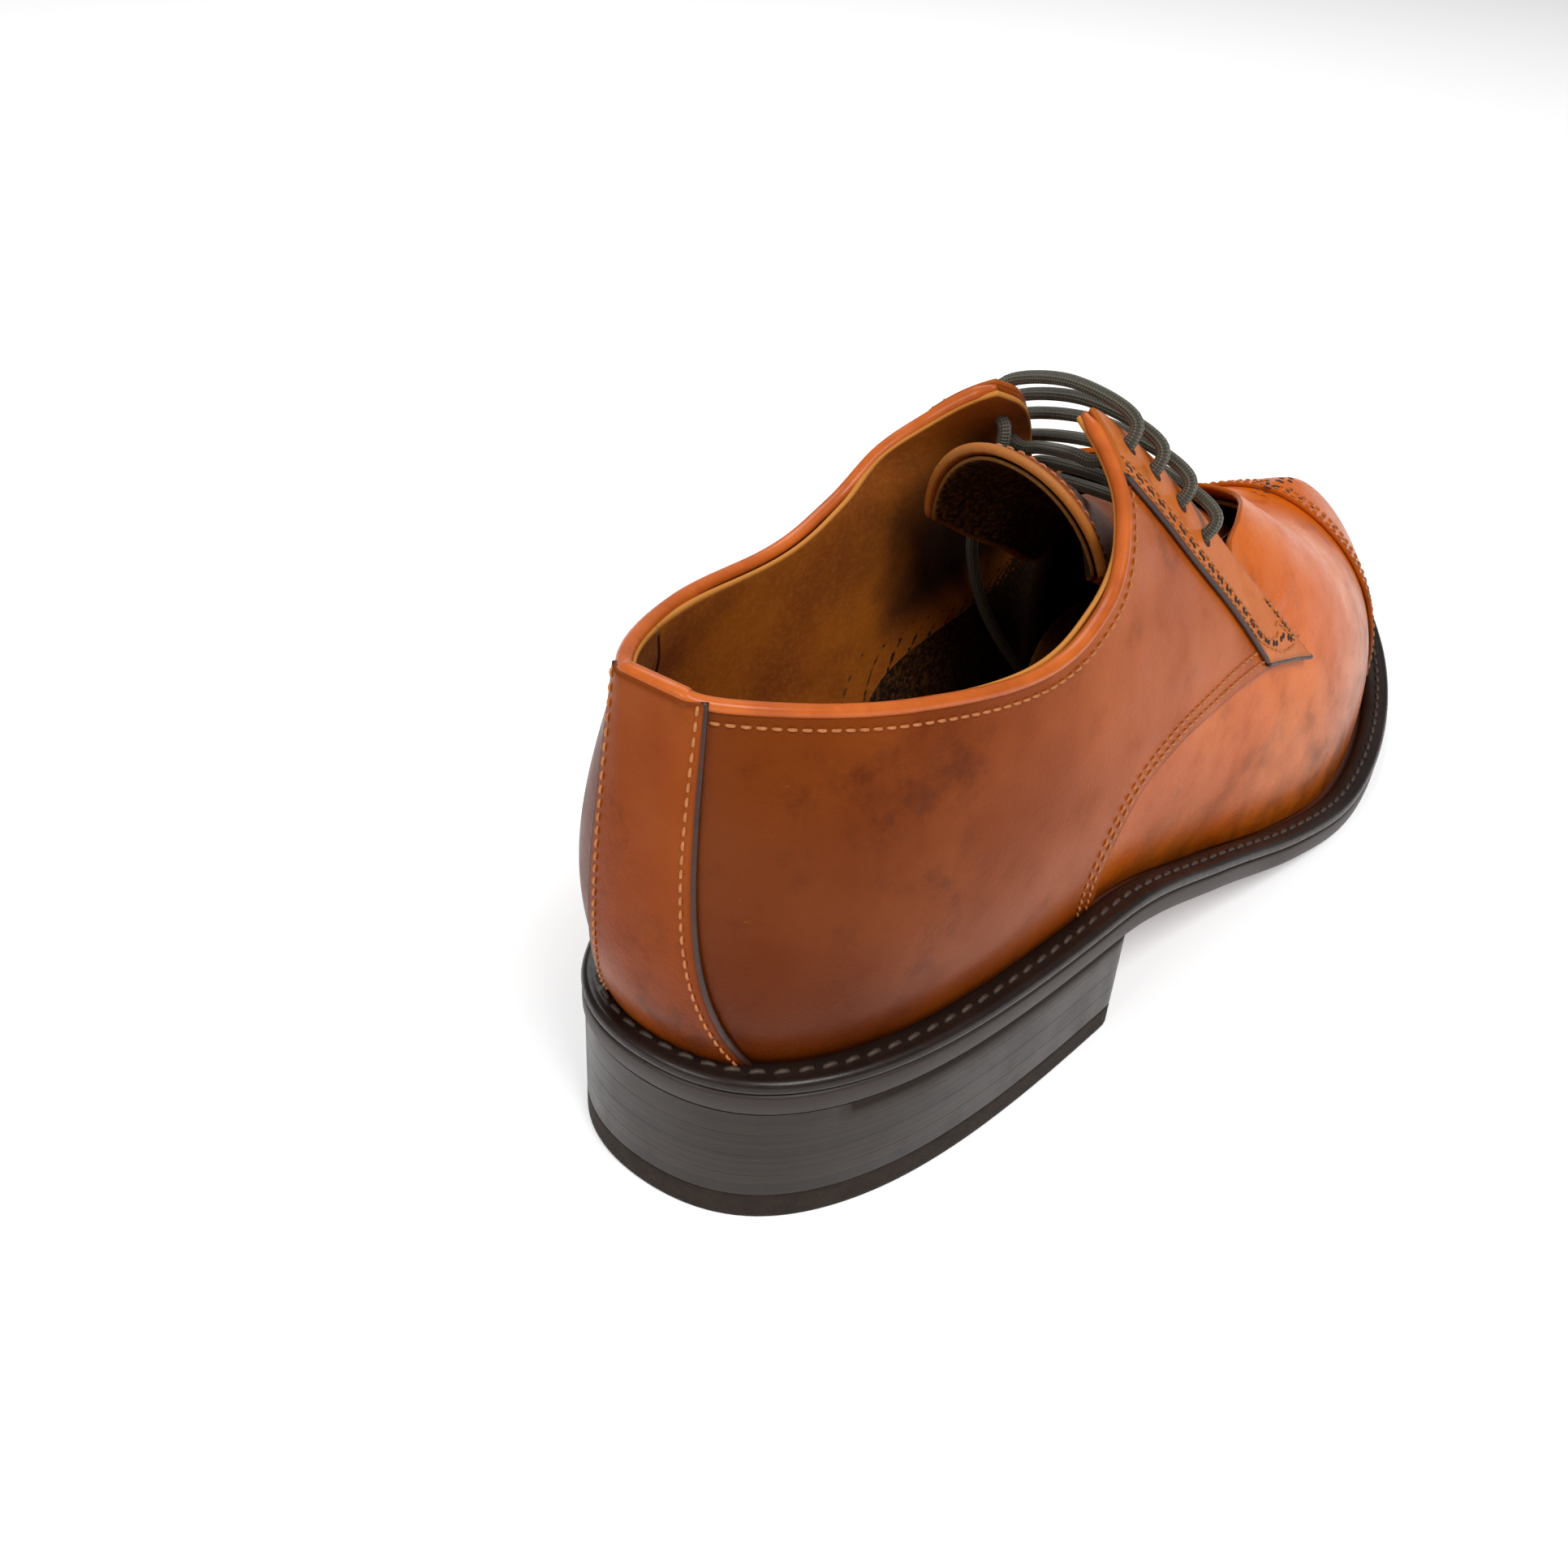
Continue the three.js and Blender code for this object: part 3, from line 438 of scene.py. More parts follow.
class Value:
    # a socket whose sums and products add the Math nodes they stand for
    def __init__(self, sheet, socket):
        self.sheet = sheet
        self.socket = socket

    def math(self, operation, *others):
        return self.sheet.add("ShaderNodeMath", {"operation": operation}, dict(enumerate([self, *others])))

    def __add__(self, other):
        return self.math("ADD", other)

    def __sub__(self, other):
        return self.math("SUBTRACT", other)

    def __mul__(self, other):
        return self.math("MULTIPLY", other)

    def wave(self):
        return self.math("SINE")

    def fraction(self):
        return self.math("FRACT")


class Sheet:
    # one material: its shader, and one method that makes any node
    def __init__(self, name, **fixed):
        self.material = bpy.data.materials.new(name)
        self.material.use_nodes = True
        self.tree = self.material.node_tree
        self.shader = self.tree.nodes["Principled BSDF"]
        for socket, value in fixed.items():
            self.shader.inputs[socket.replace("_", " ")].default_value = value

    def add(self, kind, settings, sockets, out=0):
        node = self.tree.nodes.new(kind)
        for key, value in settings.items():
            setattr(node, key, value)
        for key, value in sockets.items():
            if isinstance(value, Value):
                self.tree.links.new(value.socket, node.inputs[key])
            else:
                node.inputs[key].default_value = value
        return Value(self, node.outputs[out])

    def feed(self, **sockets):
        for name, value in sockets.items():
            self.tree.links.new(value.socket, self.shader.inputs[name.replace("_", " ")])

    def place(self, source="Object"):
        return self.add("ShaderNodeTexCoord", {}, {}, source)

    def split(self, vector):
        node = self.tree.nodes.new("ShaderNodeSeparateXYZ")
        self.tree.links.new(vector.socket, node.inputs[0])
        return [Value(self, node.outputs[k]) for k in range(3)]

    def stretched(self, vector, sizes):
        return self.add("ShaderNodeVectorMath", {"operation": "MULTIPLY"}, {0: vector, 1: sizes}, "Vector")

    def noise(self, vector, scale, detail=3.0, rough=0.55):
        sockets = {"Vector": vector, "Scale": scale, "Detail": detail, "Roughness": rough}
        return self.add("ShaderNodeTexNoise", {}, sockets, "Fac")

    def cells(self, vector, scale):
        return self.add("ShaderNodeTexVoronoi", {}, {"Vector": vector, "Scale": scale}, "Distance")

    def blend(self, factor, a, b):
        a, b = (k if isinstance(k, Value) else (*k, 1) for k in (a, b))
        return self.add("ShaderNodeMix", {"data_type": "RGBA"}, {0: factor, 6: a, 7: b}, 2)

    def range(self, value, low, high, toLow=0.0, toHigh=1.0):
        sockets = {"Value": value, "From Min": low, "From Max": high, "To Min": toLow, "To Max": toHigh}
        return self.add("ShaderNodeMapRange", {"interpolation_type": "SMOOTHSTEP"}, sockets)

    def bump(self, height, distance, strength):
        sockets = {"Height": height, "Distance": distance, "Strength": strength}
        return self.add("ShaderNodeBump", {}, sockets, "Normal")

    def edge(self):
        return self.add("ShaderNodeAttribute", {"attribute_name": "edge"}, {}, "Fac")


def linear(red, green, blue):
    # display colour 0-255 to the renderer's linear light
    return tuple(((c / 255 + 0.055) / 1.055) ** 2.4 if c > 10 else c / 3294.6 for c in (red, green, blue))


print("materials")
leather = {
    "quarter": linear(164, 72, 8),
    "quarterLight": linear(184, 88, 16),
    "burnish": linear(58, 18, 0),
    "toe": linear(216, 100, 14),
    "toeLight": linear(232, 118, 26),
    "raw": linear(196, 128, 52),
    "grainSize": 1500,
    "grainDepth": 0.000128,
    "poreRows": 260,  # rows in a metre
}


def upperLeather(name, base, light, burnishFrom, burnishTo, burnishMost, rough=0.36):
    # burnish deepens towards the heel back and the welt, mottled by slow noise; fine grain in the bump
    s = Sheet(name, Coat_Roughness=0.22, Coat_IOR=1.4, Specular_IOR_Level=0.07)
    dark = leather["burnish"]
    at = s.place()
    x, y, z = s.split(at)
    slow = s.noise(at, 26, 4)
    mottle = s.noise(at, 95, 5, 0.6)
    colour = s.blend(s.range(slow, 0.35, 0.68), base, light)
    colour = s.blend(s.range(x + (slow - 0.5) * 0.03, burnishFrom, burnishTo, burnishMost, 0.0), colour, dark)
    patch = s.range(s.noise(at, 38, 6, 0.68), 0.56, 0.72, 0.0, 0.55)
    colour = s.blend(patch * s.range(x, -0.14, 0.05, 1.0, 0.45), colour, dark)
    colour = s.blend(s.range(mottle, 0.52, 0.78, 0.0, 0.3), colour, dark)
    low = s.range(z, 0.012, 0.066, 0.72, 0.0)
    colour = s.blend(low * s.range(mottle, 0.3, 0.7, 0.5, 1.0), colour, dark)
    colour = s.blend(s.range(s.edge(), 0.0, 0.0018, 0.42, 0.0), colour, dark)
    scuffs = s.noise(s.stretched(at, (60, 60, 260)), 3.0, 6, 0.7)
    colour = s.blend(s.range(scuffs, 0.66, 0.74, 0.0, 0.16), colour, leather["raw"])
    dull = s.range(scuffs, 0.62, 0.72, 0.0, 0.10)
    grain = s.cells(at, leather["grainSize"]) * 0.5 + s.noise(at, 420, 4, 0.62)
    s.feed(Base_Color=colour,
           Roughness=s.range(mottle, 0.25, 0.8, rough - 0.05, rough + 0.12) + dull,
           Coat_Weight=s.range(slow, 0.3, 0.7, 0.05, 0.2),
           Normal=s.bump(grain, leather["grainDepth"], 0.8))
    return s.material


def liningLeather(name, base, dark, rough=0.55, pores=False, raw=0.95, paintedShade=0.0):
    # softer unfinished leather, with a golden raw edge; a painted shade darkens it ahead of the ankle, away
    # from its edges, for the shade inside the shoe
    s = Sheet(name, Specular_IOR_Level=0.3)
    at = s.place()
    x, y, z = s.split(at)
    slow = s.noise(at, 40, 4)
    fibre = s.noise(at, 900, 3, 0.7)
    colour = s.blend(s.range(slow, 0.3, 0.7), base, dark)
    colour = s.blend(s.range(fibre, 0.4, 0.75, 0.0, 0.25), colour, leather["raw"])
    if paintedShade:
        # painted shade: near black ahead of the ankle and deep inside, away from the lining's edges
        deep = s.range(x + (slow - 0.5) * 0.03, -0.075, -0.035) * s.range(s.edge(), 0.004, 0.022) * paintedShade
        colour = s.blend(deep, colour, linear(20, 9, 3))
    colour = s.blend(s.range(s.edge(), 0.0, 0.0012, raw, 0.0), colour, leather["raw"])
    height = fibre
    if pores:
        u, v = ((side * leather["poreRows"]).fraction() - 0.5 for side in (x, y))
        hole = s.range(u * u + v * v, 0.012, 0.045)
        # painted shade: each pore's middle is coloured near black for the shade inside it
        colour = s.blend(hole, linear(40, 22, 10), colour)
        height = fibre * 0.3 + hole * 2.2
    s.feed(Base_Color=colour,
           Roughness=s.range(slow, 0.2, 0.8, rough, rough + 0.2),
           Normal=s.bump(height, 0.00012, 0.7))
    return s.material


def plainStuff(name, base, dark, scale, rough, bumpDepth=0.00008, stretch=(1, 1, 1), **fixed):
    # one colour broken by stretched noise, for soles, threads, cork, board and steel
    s = Sheet(name, **fixed)
    at = s.stretched(s.place(), stretch)
    mottle = s.noise(at, scale, 5, 0.62)
    fine = s.noise(at, scale * 7, 3, 0.6)
    s.feed(Base_Color=s.blend(s.range(mottle, 0.3, 0.72), base, dark),
           Roughness=s.range(fine, 0.2, 0.8, rough - 0.06, rough + 0.12),
           Normal=s.bump(fine * 0.6 + mottle, bumpDepth, 0.7))
    return s.material


def stackLeather():
    # heel lifts: faint level bands along the edge, waxed
    s = Sheet("stackedHeel", Coat_Roughness=0.25, Coat_Weight=0.16, Specular_IOR_Level=0.25)
    at = s.place()
    x, y, z = s.split(at)
    level = s.add("ShaderNodeCombineXYZ", {}, {0: s.noise(at, 60, 3) * 0.4, 2: z * 900}, "Vector")
    band = s.noise(level, 1.0, 2)
    mottle = s.noise(at, 120, 4)
    colour = s.blend(s.range(band, 0.35, 0.65), linear(40, 31, 27), linear(50, 39, 33))
    s.feed(Base_Color=s.blend(s.range(mottle, 0.5, 0.8, 0.0, 0.4), colour, linear(30, 21, 19)),
           Roughness=s.range(mottle, 0.3, 0.7, 0.34, 0.46),
           Normal=s.bump(band * 0.6 + mottle * 0.4, 0.00012, 0.6))
    return s.material


def soleBottom():
    # dark edge dye runs in a little way; the middle is reddish natural leather
    s = Sheet("soleBottom", Specular_IOR_Level=0.4)
    at = s.place()
    mottle = s.noise(at, 30, 5)
    fibre = s.noise(at, 500, 3)
    fade = s.range(s.edge() + (mottle - 0.5) * 0.004, 0.004, 0.009)
    natural = s.blend(mottle, linear(120, 58, 34), linear(84, 44, 30))
    s.feed(Base_Color=s.blend(fade, linear(48, 36, 32), natural),
           Roughness=s.range(mottle, 0.2, 0.8, 0.42, 0.56),
           Normal=s.bump(fibre * 0.5 + mottle, 0.00010, 0.6))
    return s.material


def laceCord():
    # round braid: two crossing helices in the tube's own coordinates; the colour is painted darker where the
    # braid is low, a painted shade in its grooves
    s = Sheet("waxedLace", Specular_IOR_Level=0.4, Sheen_Weight=0.15)
    u, v, w = s.split(s.place("UV"))
    turns, rise = u * 6, v * 900
    braid = ((turns + rise) * (2 * math.pi)).wave() * ((turns - rise) * (2 * math.pi)).wave()
    slow = s.noise(s.place(), 140, 4)
    # painted shade: darker where the braid's height is low, in its grooves
    colour = s.blend(s.range(braid, -0.6, 0.9), linear(58, 54, 44), linear(104, 100, 82))
    s.feed(Base_Color=s.blend(s.range(slow, 0.45, 0.8, 0.0, 0.5), colour, linear(70, 66, 52)),
           Roughness=s.range(slow, 0.2, 0.8, 0.42, 0.6),
           Normal=s.bump(braid, 0.00016, 0.8))
    return s.material


upper = upperLeather("upperLeather", leather["quarter"], leather["quarterLight"], -0.150, -0.03, 0.74)
stripLeather = upperLeather("stripLeather", linear(142, 60, 6), linear(154, 72, 12), -0.2, -0.08, 0.25, 0.4)
toeLeather = upperLeather("toeLeather", leather["toe"], leather["toeLight"], -0.06, 0.03, 0.30, 0.3)
facingLeather = upperLeather("facingLeather", linear(198, 98, 30), linear(212, 116, 46), -0.2, -0.1, 0.1)
foldDark = plainStuff("foldedEdge", linear(66, 28, 10), linear(44, 18, 8), 200, 0.42)
rollLeather = plainStuff("rolledEdge", linear(206, 104, 38), linear(172, 78, 22), 60, 0.34,
                         Coat_Weight=0.2, Coat_Roughness=0.2, Specular_IOR_Level=0.2)
# the lining carries painted shade ahead of the ankle, inside the shoe
lining = liningLeather("lining", linear(176, 96, 20), linear(130, 62, 10), paintedShade=0.95)
# painted shade: the vamp's and tongue's inner linings are coloured near black for the shade inside the shoe
paintedShadeLining = liningLeather("paintedShadeLining", linear(34, 12, 4), linear(22, 8, 3), raw=0.35)
gripLeather = liningLeather("gripLining", linear(150, 82, 26), linear(112, 58, 18), 0.62)
padLeather = liningLeather("padLeather", linear(176, 104, 40), linear(150, 84, 30), 0.5, pores=True)
tongueLeather = liningLeather("tongueLeather", linear(150, 70, 24), linear(120, 52, 16), 0.45, raw=0.5)
weltLeather = plainStuff("weltLeather", linear(40, 28, 23), linear(27, 19, 16), 90, 0.34,
                         Coat_Weight=0.16, Coat_Roughness=0.2, Specular_IOR_Level=0.25)
soleLeather = soleBottom()
stack = stackLeather()
rubber = plainStuff("topPieceRubber", linear(48, 37, 29), linear(38, 28, 22), 300, 0.72, 0.00012,
                    Specular_IOR_Level=0.2)
threadTan = plainStuff("tanThread", linear(196, 124, 66), linear(170, 98, 46), 1500, 0.6)
threadDark = plainStuff("weltThread", linear(78, 60, 48), linear(54, 42, 34), 1500, 0.5)
# painted shade: punched holes are dark dishes, with the shade inside the holes painted in
hole = plainStuff("punchedHole", linear(66, 30, 14), linear(44, 20, 12), 700, 0.8)
cork = plainStuff("cork", linear(155, 113, 72), linear(100, 66, 40), 400, 0.85, 0.0003)
board = plainStuff("insoleBoard", linear(150, 96, 60), linear(120, 72, 44), 150, 0.7)
stiff = plainStuff("stiffener", linear(214, 204, 184), linear(186, 172, 150), 260, 0.8, stretch=(1, 1, 3))
steel = plainStuff("steel", linear(160, 160, 158), linear(120, 120, 120), 500, 0.32, stretch=(1, 8, 8),
                   Metallic=1.0)
laceStuff = laceCord()
tipStuff = plainStuff("laceTip", linear(76, 70, 56), linear(58, 54, 44), 400, 0.35)

for node, material in {"cork_filler": cork, "insole_board": board, "shank": steel, "toe_puff": stiff,
                       "heel_counter": stiff, **{f"heel_nail_{k}": steel for k in range(1, 6)}}.items():
    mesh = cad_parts[node].data
    mesh.materials.clear()
    mesh.materials.append(material)

print("lace")
lace = {
    "diameter": 2.6,
    "middle": -1.25,  # height of the middle of the eyelet's hole over the last's surface
    # at an eyelet: (towards the throat, out of the leather) from the hole's middle
    "overOuter": [(0.1, 1.2), (3.0, 5.75)],
    "overInner": [(4.6, 5.3), (1.8, 4.75), (0, 1.6)],
    "under": [(1.8, -4.7), (4.6, -6.6)],
    "underEnd": [(0.65, -2.95)],
    "barRise": 0.13,
    "outerTail": [(-14.5, -18.5, 84.5), (-7, -20, 79), (2, -26, 66), (10, -30, 52), (17, -32, 38),
                  (27, -31, 21), (42, -26, 13.6), (66, -17, 12.3), (92, -9, 13.9)],
    "innerTail": [(-37.5, 12.5, 101.5), (-37.5, 14, 95), (-36, 16.3, 87), (-30, 19, 76), (-20, 20, 60),
                  (-5, 20, 42), (12, 20, 26), (30, 19, 16), (50, 15, 12.6), (72, 11, 12.6), (92, 9, 13.9)],
    "tipLength": 14,
    "tipGap": 0.1,
    "tipOver": 0.15,  # how far the tip stands out over the cord
    "sides": 12,
    "points": 640,
}


def eyelet(side, row):
    station, height = pattern["eyelets"][row]
    return laid(sideStation(side, station), height)


def sideStation(side, t):
    # the inner side runs back from the last station
    return t if side < 0 else wholeRound - t


def throughEyelet(side, row, pairs):
    # points on the way through an eyelet, from distances towards the throat and out of the leather
    p, n = eyelet(side, row)
    inwards = np.array([0, -side, 0.0])
    inwards = unit(inwards - n * inwards.dot(n))
    across, out = np.array(pairs).T[:, :, None]
    return p + inwards * across + n * (lace["middle"] + out)


def centripetal(points, steps):
    # Catmull-Rom curve whose pieces are timed by the square root of their chords
    p = np.concatenate([[2 * points[0] - points[1]], points, [2 * points[-1] - points[-2]]])
    time = np.linalg.norm(np.diff(p, axis=0), axis=1)[:, None] ** 0.5
    a, b, c, d = p[:-3], p[1:-2], p[2:-1], p[3:]
    t0, t1, t2 = time[:-2], time[1:-1], time[2:]
    m1 = ((b - a) / t0 - (c - a) / (t0 + t1) + (c - b) / t1) * t1
    m2 = ((c - b) / t1 - (d - b) / (t1 + t2) + (d - c) / t2) * t1
    f = (np.arange(steps) / steps)[None, :, None]
    b, c, m1, m2 = (k[:, None] for k in (b, c, m1, m2))
    q = b + m1 * f + (3 * (c - b) - 2 * m1 - m2) * f ** 2 + (2 * (b - c) + m1 + m2) * f ** 3
    return np.concatenate([q.reshape(-1, 3), points[-1:]])


def makeLace():
    rows = len(pattern["eyelets"])
    points = [np.array(lace["outerTail"][::-1], float)]
    for row in range(rows - 1, -1, -1):
        first = lace["underEnd"] if row == rows - 1 else lace["under"][::-1]
        second = lace["underEnd"] if row == 0 else lace["under"]
        left = throughEyelet(-1, row, first + lace["overOuter"])
        right = throughEyelet(1, row, lace["overInner"] + second)
        bar = (left[-1] + right[0]) / 2
        bar[2] += lace["barRise"] * np.linalg.norm(left[-1] - right[0])
        points += [left, bar[None], right]
    points.append(np.array(lace["innerTail"], float))
    line = resample(centripetal(np.concatenate(points), 24), lace["points"])
    s = np.linspace(0, 1, 9)
    radius = lace["diameter"] / 2 + lace["tipOver"] + 0.12 * np.cos(s * math.pi * 8) * (s < 0.2)
    for k, (end, before) in enumerate([(line[0], line[6]), (line[-1], line[-7])]):
        reach = unit(end - before) * (lace["tipGap"] + s[:, None] * lace["tipLength"])
        tube(f"lace_tip_{k + 1}", end + reach, radius, tipStuff, sides=lace["sides"],
                         replaces=(f"aglet_{k + 1}",), slot="aglet")
    cord = tube("lace", line, lace["diameter"] / 2, laceStuff, sides=lace["sides"],
                replaces=("shoelace",), slot="lace")


makeLace()

print("soles")


def ringSlab(name, insets, levels, material, slot, replaces):
    # rings round the sole from one face over the edge to the other, both drawn in to its middle line
    t = np.linspace(0, wholeRound, sole["ringPoints"], endpoint=False)
    edge, _ = outlineAt(t)
    middle = (ring(sole["outline"], t) + ring(sole["outline"], wholeRound - t)) / 2
    rings = [soleRing(t, inset, level) for inset, level in zip(insets, levels)]

    def drawnIn(flat, share, level):
        flat = flat[:, :2] * (1 - share) + middle * share
        return atHeight(flat, underside(flat[:, 0]) + level)

    shares = (0.25, 0.5, 0.75, 1.0)
    rings = ([drawnIn(rings[0], share, levels[0]) for share in shares[::-1]] + rings
             + [drawnIn(rings[-1], share, levels[-1]) for share in shares])
    points = np.concatenate(rings)
    away = np.concatenate([np.linalg.norm(r[:, :2] - edge, axis=1) for r in rings]) * metre
    makePiece(name, points, gridFaces(len(rings), len(t), wrapCols=True), material, edge=away,
              uv=points[:, :2] * metre, slot=slot, replaces=replaces)


thick = sole["thick"]
ringSlab("sole_leather", [8, 0.9, 0.25, 0.0, 0.0, 0.25, 1.2, 9],
         [0, 0, 0.25, 0.9, thick - 0.8, thick - 0.2, thick, thick],
         soleLeather, slot="outsole", replaces=("outsole",))

welt = {
    # section round the edge: (inset from the sole's edge, height over the sole's underside)
    "section": [(6.3, 5.0), (0.4, 5.0), (0.0, 5.4), (-0.1, 6.0), (0.15, 6.9), (0.7, 7.35), (1.3, 7.55),
                (1.9, 7.35), (2.5, 7.45), (3.4, 7.55), (4.4, 7.5), (5.4, 7.2), (6.1, 6.9), (6.3, 6.0)],
    "points": 400,
    "stitchInset": 3.1,
    "stitchLevel": 7.5,
    "stitchPitch": 4.2,
}


def makeWelt():
    t = np.linspace(0, wholeRound, welt["points"], endpoint=False)
    rings = np.concatenate([soleRing(t, inset, level) for inset, level in welt["section"]])
    faces = gridFaces(len(welt["section"]), len(t), wrapCols=True, wrapRows=True)
    makePiece("welt_strip", rings, faces, weltLeather, replaces=("welt",), slot="welt")
    line = soleRing(np.linspace(0, wholeRound, 3 * welt["points"]), welt["stitchInset"], welt["stitchLevel"])
    upwards = np.tile([0, 0, 1.0], (len(line), 1))
    stitches("welt_stitches", [(line, upwards)], threadDark, slot="welt", long=3.3, pitch=welt["stitchPitch"],
             thick=0.5, slant=0.12)


makeWelt()

heel = {
    "inset": 0.4,
    "breastX": -57,
    "hollow": 7,
    "topPiece": 6.0,
    "lifts": 4,
    "gap": 0.3,
    "lowX": -152.0,  # where the lifts' heights are measured
    "liftGap": 0.05,
    "liftOver": 0.27,  # closes most of the gap between lifts
}


def heelOutline(count=160):
    # the sole's edge behind the breast, closed by a hollow arc with softened corners
    t = np.linspace(-6, 6, 2000)
    p, _ = outlineAt(t % wholeRound, heel["inset"])
    p = p[p[:, 0] < heel["breastX"]]
    s = np.linspace(0, 1, 60)[1:-1, None]
    arc = p[-1] + (p[0] - p[-1]) * s
    arc[:, 0] -= heel["hollow"] * np.sin(math.pi * s[:, 0])
    loop = resample(np.concatenate([p, arc, p[:1]]), count + 1)[:-1]
    for _ in range(2):
        loop = (np.roll(loop, 1, 0) + 2 * loop + np.roll(loop, -1, 0)) / 4
    return loop


def heelLayer(name, low, high, material, replaces, slot, edge=0.35):
    loop = heelOutline()
    centre = loop.mean(0)
    outwards = np.roll(loop, -1, 0) - np.roll(loop, 1, 0)
    outwards = unit(np.stack([outwards[:, 1], -outwards[:, 0]], -1))
    rings = []
    bevel = [(edge, 0), (edge * 0.3, edge * 0.3), (0, edge), (0, 3 * edge)]
    section = [(0.02, 0, low), (0.6, 0, low)] + [(1, inset, low + rise) for inset, rise in bevel]
    section += [(1, inset, high - rise) for inset, rise in bevel[::-1]] + [(0.6, 0, high), (0.02, 0, high)]
    for share, inset, z in section:
        flat = centre + (loop - centre) * share - outwards * inset
        rings.append(atHeight(flat, np.minimum(z, underside(flat[:, 0]) - heel["gap"] / 2)))
    n = len(loop)
    faces = gridFaces(len(rings), n, wrapCols=True)
    faces += [list(range(n))[::-1], [(len(rings) - 1) * n + k for k in range(n)]]
    makePiece(name, np.concatenate(rings), faces, material, replaces=(replaces,), slot=slot)


heelLayer("heel_top_piece", 0, heel["topPiece"], rubber, "top_piece", "top_piece", 0.5)
heelTop = underside(np.array(heel["lowX"]))
liftThick = (heelTop - heel["topPiece"] - (heel["lifts"] + 1) * heel["gap"]) / heel["lifts"]
for k in range(heel["lifts"]):
    low = heel["topPiece"] + heel["liftGap"] + k * (liftThick + heel["gap"])
    high = low + liftThick + heel["liftOver"]
    heelLayer(f"heel_layer_{k + 1}", low, high, stack, f"heel_lift_{k + 1}", "heel_stack", 0.05)

print("upper")
upperCut = {
    # sizes are millimetres along and across a piece, for its rounded edges and its texture
    "sideColumns": 84,
    "sideRows": 34,
    "quarterSize": (190, 75),
    "quarterTurns": (0.55, 0.72),
    "seamTurn": 0.46,
    "toplineTurns": (3.0, 3.7),
    "facingSize": (26, 62),
    "beltInset": 4.3,
    "beltStitches": (1.9, 6.6),
    "toeColumns": 67,
    "toeWidth": 170,
    "skin": (-1.2, 0.0),
    "under": (-2.4, -1.22),
    "inside": (-4.0, -3.0),
    "trim": (0.02, 1.2),
    "stitchLift": 0.12,
    "foldLift": 0.6,
    "foldRadius": 0.62,
    "rollRadius": 1.15,
    "rollSink": 0.75,
    "stripTop": 0.42,
    "stripFlare": 0.5,
    "stripHeight": 0.84,
    "stripStitch": 0.085,
    "stripSize": (34, 80),
    "gripFoot": 2.1,
    "gripTaper": 0.6,
    "gripSize": (120, 80),
    "liningRise": 0.004,
    "liningStart": (2.11, 1.51),
}


def sideName(side):
    return "lateral" if side < 0 else "medial"


def moved(line, distance):
    # pattern line moved to its left by a distance in millimetres
    flat = line * patternSizes
    along = unit(np.gradient(flat, axis=0))
    return (flat + np.stack([-along[:, 1], along[:, 0]], -1) * distance) / patternSizes


def onLast(side, line, lift=0.0):
    # points and normals of a pattern line laid on the last
    return laid(sideStation(side, line[:, 0]), line[:, 1], lift)


frontSeam = smoothLine(pattern["frontSeam"], 160)
topline = smoothLine(pattern["topline"], 160)
facingFront = smoothLine(pattern["facingFront"], 160)
facingRear = smoothLine(pattern["facingRear"], 120)
vampRear = smoothLine(pattern["vampRear"], 160)


def quarterGrid(rise=0.0, start=(0.0, 0.0)):
    # Coons patch: foot and front seam below, topline above, facing edge ahead, and behind it
    # a line between two start stations, at the foot and at the topline
    alongSize, upSize = upperCut["quarterSize"]
    a, b = edgeSteps(upperCut["sideColumns"], alongSize), edgeSteps(upperCut["sideRows"], upSize)
    foot, bend = upperCut["quarterTurns"]
    seamFoot, toplineEnd = pattern["frontSeam"][0][0], pattern["topline"][-1][0]
    s = np.linspace(0, 1, len(frontSeam))
    seam = picked(frontSeam, np.interp(a, [foot, bend, 1], [0, upperCut["seamTurn"], 1]), s)
    low = np.stack([np.where(a < foot, start[0] + a / foot * (seamFoot - start[0]), seam[:, 0]),
                    np.where(a < foot, 0, seam[:, 1])], -1)
    topStation = np.interp(a, [0, foot, bend, 1], [start[1], *upperCut["toplineTurns"], toplineEnd])
    high = np.stack([topStation, np.interp(topStation, topline[:, 0], topline[:, 1]) + rise], -1)
    ahead = picked(facingFront, b, s)
    behind = np.stack([start[0] + (start[1] - start[0]) * b, b * high[0, 1]], -1)
    u, v = a[:, None, None], b[None, :, None]
    grid = ((1 - v) * low[:, None] + v * high[:, None] + (1 - u) * behind[None] + u * ahead[None]
            - (1 - u) * (1 - v) * low[0] - u * (1 - v) * low[-1] - (1 - u) * v * high[0] - u * v * ahead[-1])
    return grid[..., 0], grid[..., 1], (a * alongSize, b * upSize)


def makeQuarter(side):
    t, v, lengths = quarterGrid()
    panel(f"quarter_{sideName(side)}_leather", sideStation(side, t), v, upperCut["skin"], lengths, upper,
          replaces=(f"quarter_{sideName(side)}",), slot="upper")


def facingLine(a, count=160):
    # pattern line a share of the way from the facing's rear edge to its front edge, bottom to top
    b = np.linspace(0, 1, count)
    rear = picked(facingRear[::-1], b, np.linspace(0, 1, len(facingRear)))
    front = picked(facingFront, b, np.linspace(0, 1, len(facingFront)))
    return rear * (1 - a) + front * a


